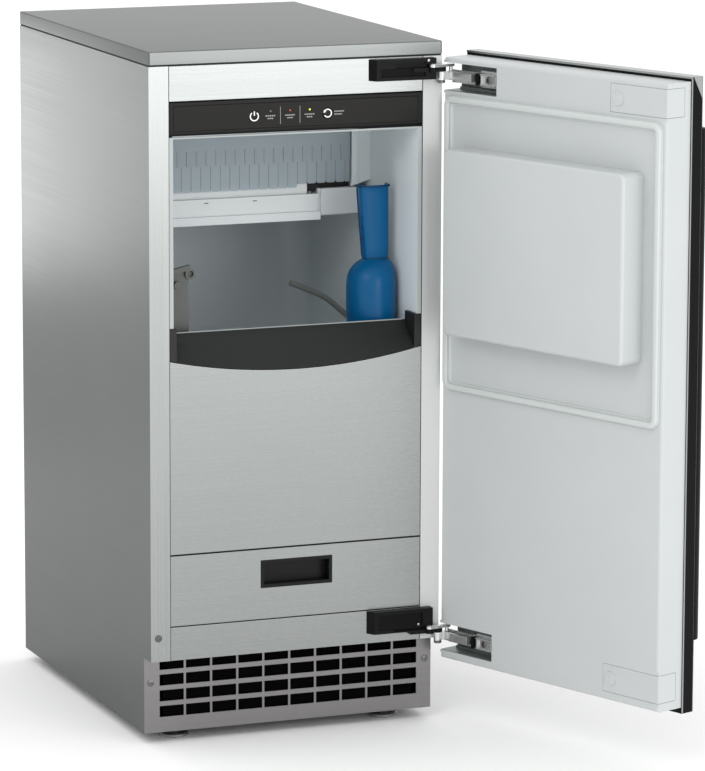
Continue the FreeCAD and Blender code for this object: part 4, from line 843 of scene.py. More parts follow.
def cross_head_screws(finish: Finish) -> Pattern:
    """Low domed screw heads with a cross recess at each point, facing the front."""
    p = Pattern("cross_head_screws")
    radius = p.size("Head Radius", 0.0042)
    height = p.size("Head Height", 0.002)
    turn = p.size("Turn", (0.0, 0.0, 0.0), "NodeSocketVector")
    disc = p.add("GeometryNodeMeshCylinder", {"Vertices": 28, "Radius": radius, "Depth": height})
    ball = p.add("GeometryNodeMeshUVSphere", {"Segments": 28, "Rings": 14, "Radius": radius})
    squash = p.xyz(1.0, 1.0, p.math("DIVIDE", p.math("MULTIPLY", height, 0.45), radius))
    crown = p.placed(ball, Scale=squash, Translation=p.xyz(0.0, 0.0, p.math("MULTIPLY", height, 0.25)))
    low = p.placed(disc, Scale=(1, 1, 0.5), Translation=p.xyz(0.0, 0.0, p.math("MULTIPLY", height, -0.05)))
    head = p.solid("UNION", None, crown, low)
    arm = p.xyz(p.math("MULTIPLY", radius, 1.1), p.math("MULTIPLY", radius, 0.24), height)
    rise = p.xyz(0.0, 0.0, p.math("MULTIPLY", height, 0.8))
    bar = p.placed(p.add("GeometryNodeMeshCube", {"Size": arm}), Translation=rise)
    cut = p.solid("DIFFERENCE", head, bar, p.placed(bar, Rotation=(0, 0, math.radians(90))))
    return p.close(p.repeated(p.entry.outputs["Geometry"], p.upright(cut), Rotation=turn), finish)


def row_of_strips(finish: Finish) -> Pattern:
    """Hanging strips side by side with rounded lower corners, facing the front."""
    p = Pattern("row_of_strips")
    count = p.size("Count", 22, "NodeSocketInt")
    pitch = p.size("Pitch", 0.0126)
    width = p.size("Width", 0.0118)
    length = p.size("Length", 0.034)
    thick = p.size("Thickness", 0.001)
    start = p.size("Start", (0.0, 0.0, 0.0), "NodeSocketVector")
    outline = p.rectangle(width, length, p.math("MULTIPLY", width, 0.22), 4)
    strip_shape = p.upright(p.thickened(p.add("GeometryNodeFillCurve", {0: outline}), thick, 0.00002))
    step = p.xyz(pitch, 0.0, 0.0)
    line = p.add("GeometryNodeMeshLine", {"Count": count, "Start Location": start, "Offset": step})
    return p.close(p.repeated(line, strip_shape), finish)


def row_of_copies(finish: Finish) -> Pattern:
    """Copies of a seed shape on a straight line, each turned a step further about an axis."""
    p = Pattern("row_of_copies")
    count = p.size("Count", 10, "NodeSocketInt")
    step = p.size("Step", (0.01, 0.0, 0.0), "NodeSocketVector")
    start = p.size("Start", (0.0, 0.0, 0.0), "NodeSocketVector")
    turn = p.size("Turn Step", (0.0, 0.0, 0.0), "NodeSocketVector")
    line = p.add("GeometryNodeMeshLine", {"Count": count, "Start Location": start, "Offset": step})
    times = p.add("GeometryNodeInputIndex")
    angle = p.add("ShaderNodeVectorMath", {0: turn, "Scale": times}, operation="SCALE")
    return p.close(p.repeated(line, p.entry.outputs["Geometry"], Rotation=angle), finish)


def grid_of_cups(finish: Finish) -> Pattern:
    """Open-bottomed cups in a grid under a plate."""
    p = Pattern("grid_of_cups")
    cols = p.size("Columns", 6, "NodeSocketInt")
    rows = p.size("Rows", 4, "NodeSocketInt")
    span_x = p.size("Span X", 0.2)
    span_y = p.size("Span Y", 0.12)
    radius = p.size("Radius", 0.013)
    wall = p.size("Wall", 0.001)
    height = p.size("Height", 0.022)
    centre = p.size("Centre", (0.0, 0.0, 0.0), "NodeSocketVector")
    crown = p.math("MULTIPLY", radius, 0.86)

    def cone(top: Socket, foot: Socket, deep: Socket) -> Socket:
        """A cone of 28 facets."""
        sizes = {"Vertices": 28, "Radius Top": top, "Radius Bottom": foot, "Depth": deep}
        return p.add("GeometryNodeMeshCone", sizes)

    thinner = [p.math("SUBTRACT", whole, wall) for whole in (crown, radius, height)]
    hollow = p.placed(cone(*thinner), Translation=(0, 0, -0.0005))
    cup = p.solid("DIFFERENCE", cone(crown, radius, height), hollow)
    grid = p.add("GeometryNodeMeshGrid",
                 {"Size X": span_x, "Size Y": span_y, "Vertices X": cols, "Vertices Y": rows})
    return p.close(p.repeated(p.placed(grid, Translation=centre), cup), finish)


# ---- sub-assemblies ----------------------------------------------------------
@dataclass
class Assembly:
    """Pieces that belong together, and how they are fixed to the frame."""

    frame: dict
    slots: dict[str, str] = field(default_factory=dict)

    def __post_init__(self) -> None:
        """Notes the finish slot of every node before any material changes."""
        for row in self.frame["record"]["subparts"]:
            self.slots[row["node"]] = row["material_slot"]

    def span(self, node: str) -> tuple[Vector, Vector]:
        """Lowest and highest corner of a node in millimetres."""
        low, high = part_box(node)
        return low / MM, high / MM

    def keep(self, finish: Finish, *nodes: str) -> None:
        """Gives nodes whose shape is right a better surface.

        Args:
            finish: The surface.
            *nodes: The nodes that get it.
        """
        for node in nodes:
            shown = self.frame["nodes"][node]
            if not shown.material_slots:
                shown.data.materials.append(finish.material())
            for holder in shown.material_slots:
                holder.material = finish.material()
            LOG.info("kept %s in %s", node, finish.name)

    def fit(self, piece: Piece, *nodes: str, like: str = "") -> Piece:
        """Fixes a piece to the body of the node it stands for or goes with.

        Args:
            piece: The finished mesh.
            *nodes: Nodes that it stands for.
            like: A node whose body it shares, where it stands for none.

        Returns:
            The piece.
        """
        model = like or nodes[0]
        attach(piece, self.frame["nodes"][model]["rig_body"])
        if nodes:
            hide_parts(*nodes)
        return piece

    def face(self, piece: Piece, finish: Finish, way: Point = (0, -1, 0), depth_mm: float = 4.0) -> None:
        """Gives the outer faces that look one way another finish.

        Args:
            piece: The formed panel.
            finish: The finish of those faces.
            way: The direction they look.
            depth_mm: How far behind the outermost point a face still counts.
        """
        out = Vector(way)
        piece.data.materials.append(finish.material())
        far = max(v.co.dot(out) for v in piece.data.vertices)
        for face in piece.data.polygons:
            if face.normal.dot(out) > 0.7 and face.center.dot(out) > far - depth_mm * MM:
                face.material_index = len(piece.data.materials) - 1

    def soften(self, node: str, finish: Finish, width_mm: float = 0.5, segments: int = 2,
               smooth_deg: float = 32.0) -> Piece:
        """Makes a copy of a node with rounded edges, and lets it stand for the node.

        Args:
            node: The node.
            finish: Its surface.
            width_mm: Width of the rounding.
            segments: Facets across it.
            smooth_deg: Edges sharper than this are rounded.

        Returns:
            The new piece.
        """
        work = bmesh.new()
        work.from_mesh(self.frame["nodes"][node].data)
        bmesh.ops.remove_doubles(work, verts=work.verts, dist=0.00002)
        bmesh.ops.dissolve_limit(work, angle_limit=math.radians(0.4), verts=work.verts, edges=work.edges)
        soften_edges(work, smooth_deg)
        mesh = bpy.data.meshes.new(node + "_formed")
        work.to_mesh(mesh)
        work.free()
        mesh.materials.append(finish.material())
        piece = bpy.data.objects.new(mesh.name, mesh)
        bpy.context.scene.collection.objects.link(piece)
        if width_mm:
            bevelled(piece, width_mm, segments, smooth_deg)
        return self.fit(piece, node)


def strip(width: float, points: Sequence[Pair], y: float, depth: float) -> Shape:
    """A line of constant width drawn on a front plane.

    Args:
        width: Width of the line.
        points: Its middle line, as x and z.
        y: The plane it stands on.
        depth: How far it stands in front of the plane.

    Returns:
        The points and the faces.
    """
    rings = []
    for i, (x, z) in enumerate(points):
        a = points[max(i - 1, 0)]
        b = points[min(i + 1, len(points) - 1)]
        run = Vector((b[0] - a[0], b[1] - a[1])).normalized() * (width / 2)
        ends = [(x - run.y, z + run.x), (x + run.y, z - run.x)]
        rings.append([(ends[0][0], y, ends[0][1]), (ends[0][0], y - depth, ends[0][1]),
                      (ends[1][0], y - depth, ends[1][1]), (ends[1][0], y, ends[1][1])])
    return loft(rings)


def arc(x: float, z: float, radius: float, start: float, end: float,
        steps: int = 20) -> list[Pair]:
    """Points on an arc in a front plane, angles in degrees from the right."""
    turn = [math.radians(start + (end - start) * i / steps) for i in range(steps + 1)]
    return [(x + radius * math.cos(a), z + radius * math.sin(a)) for a in turn]


def rounded_frame(profile: Sequence[Pair], x: Pair, z: Pair, y: float,
                  radius: float, corner_steps: int = 8) -> Shape:
    """A profile carried round a rectangle with rounded corners.

    Args:
        profile: Pairs of distance inward from the edge and height towards the cabinet.
        x: Left and right edge.
        z: Lower and upper edge.
        y: The plane that the profile stands on.
        radius: Radius of the outer corners.
        corner_steps: Facets in each corner.

    Returns:
        The points and the faces.
    """
    corners = [(x[1] - radius, z[1] - radius, 0), (x[0] + radius, z[1] - radius, 90),
               (x[0] + radius, z[0] + radius, 180), (x[1] - radius, z[0] + radius, 270)]
    rings = []
    for cx, cz, start in corners:
        for k in range(corner_steps + 1):
            a = math.radians(start + 90 * k / corner_steps)
            out = (math.cos(a), math.sin(a))
            rings.append([(cx + out[0] * (radius - w), y + h, cz + out[1] * (radius - w))
                          for w, h in profile])
    rings.append(rings[0])
    return loft(rings, caps=False)


@dataclass
class Shell(Assembly):
    """The stainless cabinet: worktop, sides, back, front panels and feet; sizes in millimetres."""

    sheet: float = 1.2
    slot_width: float = 31.4
    slot_height: float = 13.9
    slot_pitch: float = 34.2
    row_pitch: float = 19.8
    lowest_row: float = 40.0
    head_radius: float = 4.2
    head_height: float = 2.0
    kick_screw_z: float = 77.0
    plug_z: float = 138.2
    flange: float = 25.0
    seal_foot: float = 110.0
    screen_half: float = 164.0
    screen_gap: float = 1.8
    back_screw_rows: tuple[float, ...] = (60.0, 250.0, 440.0, 630.0)

    def build(self) -> None:
        """Builds the cabinet's outside."""
        # The worktop: darker copies of the steel on its top and side faces as painted shade, a brighter copy
        # on its front fold as painted light.
        top = self.soften("worktop", STEEL_TOP, 0.35)
        for way in ((-1, 0, 0), (1, 0, 0)):
            self.face(top, STEEL_EDGE, way)
        self.face(top, STEEL_BRIM)
        for node in ("header_panel", "front_panel", "service_panel"):
            self.soften(node, STEEL, 0.5)
        self.soften("bottom_strip", STEEL, 0.4)
        # Both side panels in a darker copy of the steel as painted shade; their front flanges in their own
        # steel.
        self.face(self.soften("side_panel_left", STEEL_SIDE, 0.5), STEEL_UP)
        # The right flange takes the paler copy of the steel: painted light beside the open door.
        self.face(self.soften("side_panel_right", STEEL_SIDE, 0.5), STEEL_HINGE_PAINTED_LIGHT)
        self.soften("back_panel", ZINC, 0.3)
        # The base pan in black: partly its paint, partly painted shade seen through the louvres.
        self.soften("base_pan", E_COAT_AND_SHADE, 0.4)
        self.soften("service_grip", BLACK, 0.7)
        # The top seal's black also paints the shade of the gap under the worktop.
        self.keep(SEAL_BLACK_AND_SHADE, "top_seal")
        self.keep(FOAM, "cabinet_foam")
        self.mitres()
        self.gap_seals_and_shade()
        self.kick_plate()
        self.dust_screen()
        self.screws()
        self.back_screws()
        for place in ("front_left", "front_right", "rear_left", "rear_right"):
            self.foot(place)

    def mitres(self) -> None:
        """Fine welded seams down the worktop's folded corners."""
        low, high = self.span("worktop")
        parts = []
        for x in (low.x + 1.6, high.x - 1.6):
            parts.append(strip(0.5, [(x, low.z + 0.3), (x, high.z - 1.4)], low.y + 0.02, 0.05))
        self.fit(mesh_piece("worktop_corner_seams", *several(parts), E_COAT_AND_SHADE), like="worktop")

    def kick_plate(self) -> None:
        """The louvred plate under the cabinet's front."""
        low, high = self.span("kick_plate")
        middle = self.lowest_row + 1.5 * self.row_pitch
        sizes = {
            "Columns": 10, "Rows": 4, "Pitch X": self.slot_pitch * MM, "Pitch Z": self.row_pitch * MM,
            "Slot Width": self.slot_width * MM, "Slot Height": self.slot_height * MM, "Corner": 0.5 * MM,
            "Plate Width": (high.x - low.x) * MM, "Plate Height": (high.z - low.z) * MM,
            "Plate Drop": ((low.z + high.z) / 2 - middle) * MM, "Thickness": self.sheet * MM,
        }
        place = Matrix.Translation(Vector(((low.x + high.x) / 2, high.y, middle)) * MM)
        plate = sheet_of_slots(STEEL_KICK).grow("grille_plate", sizes, place=place)
        self.fit(plate, "kick_plate")

    def dust_screen(self) -> None:
        """A black felt filter behind the louvres, held in a thin hem; its black also paints the shade behind
        the slots.
        """
        low, high = self.span("kick_plate")
        y, across = high.y + self.screen_gap, (-self.screen_half, self.screen_half)
        foot, top, fold = low.z + 14.6, high.z - 1.5, 1.5
        sheet = slab(across, (y, y + 0.8), (foot, top))
        hem = [slab(across, (y - 0.5, y + 1.1), (z, z + fold)) for z in (foot, top - fold)]
        self.fit(mesh_piece("dust_screen", *several([sheet] + hem), FILTER_BLACK_AND_SHADE), like="kick_plate")

    def screws(self) -> None:
        """Cross-head screws in the kick plate and the left flange, and their plug."""
        low, high = self.span("front_screws")
        kick = self.span("kick_plate")[0].y
        xs = (low.x + self.head_radius - 0.2, high.x - self.head_radius)
        places = [(x, kick - 0.4, self.kick_screw_z) for x in xs]
        sizes = {"Head Radius": self.head_radius * MM, "Head Height": self.head_height * 0.8 * MM}
        heads = cross_head_screws(SCREW).grow("front_screw_heads", sizes, places)
        self.fit(heads, "front_screws")
        at = (low.x + self.head_radius + 1.6, low.y + self.head_height, self.plug_z)
        dished = [(4.6, 0), (4.6, 0.5), (4.0, 1.1), (2.6, 1.2), (2.2, 0.8), (0.1, 0.7)]
        plug = turned(dished, at, (0, -1, 0), 32)
        self.fit(mesh_piece("flange_plug", *plug, PLUG_GREY), like="front_screws")

    def gap_seals_and_shade(self) -> None:
        """Black edge seals in the narrow gaps beside the front panels; their black also paints the shade in
        those gaps.
        """
        low, high = self.span("header_panel")
        flange = self.span("side_panel_right")[1].x - self.flange
        deep, tall = (low.y + 0.25, low.y + 8), (self.seal_foot, high.z)
        parts = [slab((side * (high.x + 0.02), side * (flange - 0.02)), deep, tall) for side in (-1, 1)]
        self.fit(mesh_piece("panel_edge_seals_and_shade", *several(parts), SEAL_BLACK_AND_SHADE), like="top_seal")

    def back_screws(self) -> None:
        """Screws round the edge of the back panel."""
        low, high = self.span("back_panel")
        y, top = high.y - 0.3, high.z - 12
        places = [(x, y, z) for x in (low.x + 8, high.x - 8) for z in self.back_screw_rows + (top,)]
        places += [(x, y, top) for x in (-60, 60)]
        sizes = {"Head Radius": 4.6 * MM, "Head Height": 1.4 * MM, "Turn": (0.0, 0.0, math.pi)}
        heads = cross_head_screws(SCREW).grow("back_screw_heads", sizes, places)
        self.fit(heads, like="front_screws")

    def foot(self, place: str) -> None:
        """A levelling foot: a flanged disc, a hexagon and a threaded stud.

        Args:
            place: Which corner.
        """
        node = "foot_" + place
        low, high = self.span(node)
        at = ((low.x + high.x) / 2, (low.y + high.y) / 2, low.z)
        radius = (high.x - low.x) / 2
        rim = [(radius - 1.5, 0), (radius, 1.2), (radius, 3.6), (radius - 1.2, 5.2)]
        disc = turned(rim + [(12, 6), (9.2, 6.4)], at)
        nut = turned([(9.0, 6), (9.0, 6.6), (9.0, 11.2), (8.2, 12)], at, count=6)
        flank, nut_top = 0.75, 12  # half of the thread's 1.5 mm pitch
        turns = int((high.z - low.z - nut_top) / flank) + 1
        thread = [(4.8 - 0.7 * (i % 2), nut_top + i * flank) for i in range(turns)]
        stud = turned(thread, at, count=28)
        piece = mesh_piece(node + "_turned", *several([disc, nut, stud]), ZINC_PLATE, smooth_deg=28)
        self.fit(piece, node)


@dataclass
class Controls(Assembly):
    """The control panel: gloss lens in a black housing, buttons, lights and symbols; sizes in millimetres."""

    line: float = 1.45
    proud: float = 0.12
    lens_share: float = 0.62
    dash_pitch: float = 2.6
    dash_height: float = 1.4

    def build(self) -> None:
        """Builds the control panel."""
        self.soften("control_housing", BLACK, 0.8, 3)
        self.soften("control_fascia", FASCIA, 0.3)
        self.soften("power_button", BUTTON, 0.0)
        self.soften("clean_button", BUTTON, 0.0)
        self.keep(BOARD, "control_board")
        self.lights()
        self.symbols()
        self.dividers()
        self.lower_bead()

    def lower_bead(self) -> None:
        """A pale bead along the housing's lower edge, thinning out to the right: a painted highlight that
        fades to the right.
        """
        low, high = self.span("control_housing")
        half, count = high.x - 4.0, 24
        rings = []
        for i in range(count + 1):
            t = i / count
            thin = 0.75 * (1 - t) ** 0.6 + 0.08
            at = (-half + t * half * 1.5, low.y + 0.5, low.z + 0.9)
            rings.append(circle(at, thin, Vector((0, 1, 0)), Vector((0, 0, 1)), 12))
        self.fit(mesh_piece("housing_lower_highlight_bead", *loft(rings), LIP_PAINTED_HIGHLIGHT), like="control_housing")

    def lights(self) -> None:
        """Three small light pipes in dark sleeves: unlit, dim red and yellow-green."""
        low, high = self.span("indicator_lights")
        z = (low.z + high.z) / 2
        radius = (high.z - low.z) / 2
        lens = radius * self.lens_share
        places = (low.x + radius, (low.x + high.x) / 2, high.x - radius)
        sleeve = [(radius, 6), (radius, 0.3), (radius * 0.94, 0.12), (0.1, 0.12)]
        sleeves = [turned(sleeve, (x, low.y - 0.1, z), (0, 1, 0), 28) for x in places]
        self.fit(mesh_piece("light_sleeves", *several(sleeves), BUTTON), "indicator_lights")
        names = ("light_left", "light_middle", "light_right")
        for x, name, finish in zip(places, names, (LAMP_OFF, LAMP_RED, LAMP_GREEN)):
            bulge = [(lens, 1.0), (lens, 0.1), (lens * 0.7, 0.0), (0.1, -0.02)]
            dome = turned(bulge, (x, low.y - 0.1, z), (0, 1, 0), 24)
            self.fit(mesh_piece(name, *dome, finish), like="indicator_lights")

    def symbols(self) -> None:
        """A power sign and an arrow that circles back, each on its own button."""
        low, high = self.span("power_button")
        x, z, y = (low.x + high.x) / 2, (low.z + high.z) / 2, low.y + 0.02
        bow = strip(self.line, arc(x, z, 5.2, 127, 413, 30), y, self.proud)
        bar = strip(self.line, [(x, z + 0.8), (x, z + 6.2)], y, self.proud)
        self.fit(mesh_piece("power_sign", *several([bow, bar]), PRINT), like="power_button")
        low, high = self.span("clean_button")
        x, reach, start = (low.x + high.x) / 2, 4.7, math.radians(140)
        ring = strip(self.line, arc(x, z, reach, 140, -150, 30), y, self.proud)
        out = Vector((math.cos(start), 0.0, math.sin(start)))
        ahead = Vector((-math.sin(start), 0.0, math.cos(start)))
        at = Vector((x, y, z)) + out * reach
        corners = [at + out * 1.8, at - out * 2.2, at + ahead * 3.2]
        tip = loft([[tuple(c) for c in corners], [(c.x, c.y - self.proud, c.z) for c in corners]])
        self.fit(mesh_piece("clean_sign", *several([ring, tip]), PRINT), like="clean_button")

    def dashes(self, x: float, z: float, count: int, y: float) -> list[Shape]:
        """A centred row of short bars that stands for a label.

        Args:
            x: Middle of the row.
            z: Height of the row.
            count: How many bars.
            y: The plane they are printed on.

        Returns:
            One shape for each bar.
        """
        starts = [x + (i - count / 2) * self.dash_pitch for i in range(count)]
        length = self.dash_pitch - 0.7
        return [strip(self.dash_height, [(a, z), (a + length, z)], y, self.proud) for a in starts]

    def dividers(self) -> None:
        """Printed dividers and plain label bars on the lens."""
        y = self.span("control_fascia")[0].y + 0.01
        low, high = self.span("indicator_lights")
        button_low, button_high = self.span("clean_button")
        z = (low.z + high.z) / 2
        xs = (low.x + 2, (low.x + high.x) / 2, high.x - 2)
        halves = [(a + b) / 2 for a, b in zip(xs, xs[1:])]
        lines = [strip(0.5, [(x, z - 16.0), (x, z + 5.0)], y, self.proud) for x in halves]
        labels = []
        for x in xs:
            labels += self.dashes(x, z - 5.6, 5, y) + self.dashes(x, z - 8.8, 3, y)
        middle = (button_low.z + button_high.z) / 2
        labels += self.dashes(button_high.x + 8.5, middle + 1.9, 5, y)
        labels += self.dashes(button_high.x + 7.2, middle - 1.6, 4, y)
        self.fit(mesh_piece("lens_dividers", *several(lines), PRINT_THIN), like="control_fascia")
        self.fit(mesh_piece("lens_label_bars", *several(labels), PRINT_THIN), like="control_fascia")


@dataclass
class Bin(Assembly):
    """The insulated bin: liner, sill, probe, holder and scoop; sizes in millimetres."""

    scoop_wall: float = 2.2
    lip: float = 508.0
    arc_end: float = 479.4
    cheek: float = 9.0
    sill_depth: float = 32.0
    reach: float = 24.2
    knee: float = 499.2

    def build(self) -> None:
        """Builds the bin's inside."""
        self.face(self.soften("bin_liner", BIN_WHITE, 0.8, 2), LINER_RIM, depth_mm=8.0)
        self.sill()
        self.soften("wall_holder", HOLDER, 0.6)
        self.soften("scoop_holder", BIN_WHITE, 0.8)
        self.probe()
        self.scoop()

    def sill(self) -> None:
        """The dark sill: one face that leans back from an arc to a lip with a thin pale bead, a painted
        highlight, between two cheeks.

        Below the knee the face stays under the door's raised plug when the door is shut.
        """
        low, high = self.span("sill_trim")
        wide, lip, cheek = high.x, self.lip, self.cheek
        front, back = low.y, low.y + self.sill_depth
        rise = self.arc_end - low.z
        radius = (wide ** 2 + rise ** 2) / (2 * rise)

        def foot(x: float) -> float:
            """Height of the arc at x."""
            return low.z + radius - math.sqrt(radius ** 2 - x * x)

        sections = []
        count, steps = 84, 6
        for i in range(count + 1):
            x = (wide - cheek) * (2 * i / count - 1)
            z = foot(x)
            face = [(x, front + self.reach * t / steps, z + (self.knee - z) * t / steps)
                    for t in range(steps + 1)]
            edge = [(x, back - 2.8, lip - 1.0), (x, back - 1.5, lip), (x, back, lip - 1.5), (x, back, z)]
            sections.append(face + edge)
        parts = [loft(sections)]
        for side in (-1, 1):
            rings = []
            for x in (side * (wide - cheek), side * wide):
                z = foot(x)
                rings.append([(x, front, z), (x, front, high.z), (x, back, high.z), (x, back, z)])
            parts.append(loft(rings))
        face = mesh_piece("sill_face", *several(parts), SILL_BLACK, smooth_deg=40)
        self.fit(bevelled(face, 0.7, 2, 50), "sill_trim")
        inner, y = wide - cheek - 2, back - 2
        half = [(inner - 2.5, y, lip + 0.2), (inner, y, lip + 1.8), (inner, y, lip + 7.0)]
        line = [(-x, y, z) for x, y, z in reversed(half)] + half
        self.fit(mesh_piece("sill_lip_highlight_bead", *tube(line, 0.8, 10), LIP_PAINTED_HIGHLIGHT), like="bin_liner")

    def probe(self) -> None:
        """The bin level probe: a sleeved wire that rises from a grommet in the wall."""
        low, high = self.span("bin_probe")
        y = (low.y + high.y) / 2
        wall = high.x
        foot = low.z + 7.0
        bends = [(wall - back, y, foot + up) for back, up in ((0, 0), (12, 9), (35, 28), (60, 40))]
        rise = tube(smooth_path(bends + [(low.x + 2.8, y, high.z - 2.8)], 6), 3.7, 16)
        cap = turned([(7.0, 0), (7.0, 1.2), (5.6, 2.8), (3.0, 4.2)], (wall, y, foot), (-1, 0, 0), 28)
        self.fit(mesh_piece("bin_probe_sleeve", *several([rise, cap]), PROBE), "bin_probe")

    def scoop(self) -> None:
        """The ice scoop: a flared channel handle run into a half-round bowl, cut off on a slope."""
        low, high = self.span("ice_scoop")
        top, bowl_r = high.z, (high.x - low.x) / 2
        x, y = low.x + bowl_r, low.y + bowl_r
        neck = top - 92.5
        # each row: drop below the top, half width, depth, squareness of the section, lean to the right
        rows = [(0.0, 19.8, 11.4, 0.5, 1.8), (1.6, 20.0, 11.6, 0.5, 1.8), (3.4, 19.2, 10.8, 0.5, 1.8),
                (10, 19.0, 10.8, 0.5, 2.0), (45, 17.8, 10.2, 0.5, 3.4), (78, 16.4, 10.0, 0.5, 5.0),
                (88, 16.0, 10.2, 0.55, 5.2), (90.5, 15.0, 9.0, 0.55, 5.2), (92, 15.0, 9.0, 0.55, 5.2),
                (94, 18.2, 12.8, 0.65, 4.6), (97, 22.0, 18.0, 0.8, 3.6), (101, 25.6, 23.0, 0.95, 2.4),
                (106, 28.4, 27.2, 1.0, 1.2), (113, 30.6, 30.2, 1.0, 0.4), (124, bowl_r, bowl_r, 1.0, 0.0),
                (150, bowl_r, bowl_r, 1.0, 0.0), (180, bowl_r - 0.8, bowl_r, 1.0, 0.8),
                (205, bowl_r - 2.0, bowl_r, 1.0, 2.0), (top - low.z, bowl_r - 2.4, bowl_r, 1.0, 2.4)]
        rings = []
        count, spread = 28, 100
        slope = 79.0 / 120.0
        for drop, half, deep, power, lean in rows:
            ring = []
            for i in range(count + 1):
                a = math.radians(spread * (2 * i / count - 1))
                sx = math.copysign(abs(math.sin(a)) ** power, math.sin(a))
                sy = math.copysign(abs(math.cos(a)) ** power, math.cos(a))
                px, py = x + lean + half * sx, y - deep * sy
                floor = low.z + (py - y + bowl_r) * slope
                ring.append((px, py, max(top - drop, floor + 0.001 * i)))
            rings.append(ring)
        verts, faces = loft(rings, close=False, caps=False)
        piece = mesh_piece("scoop_shell", verts, faces, BLUE, smooth_deg=60)
        wall = piece.modifiers.new("wall", "SOLIDIFY")
        wall.thickness = self.scoop_wall * MM
        wall.offset = -1.0
        wall.use_even_offset = True
        edge = piece.modifiers.new("edge", "BEVEL")
        edge.width = 0.5 * MM
        edge.segments = 2
        edge.angle_limit = math.radians(50)
        baked(piece)
        # Tubes and grips in the darker blue: painted shade for the dark outlines and the neck crease.
        handle = rings[:9]
        edges = [tube([ring[side] for ring in handle], 1.1, 10) for side in (0, -1)]
        edges += [tube(handle[1], 1.25, 10), tube(handle[-1], 1.2, 10)]
        bump = [(2.6, 0), (2.4, 1.4), (1.5, 2.2), (0.1, 2.5)]
        spots = [(x - 12.6 - 0.03 * k, y - 5.0, neck + 26 + 13 * k) for k in range(4)]
        bumps = [turned(bump, spot, (-1, 0, 0), 16) for spot in spots]
        self.fit(piece, "ice_scoop")
        self.fit(mesh_piece("scoop_edges_and_grips", *several(edges + bumps), BLUE_EDGE_SHADE), like="ice_scoop")


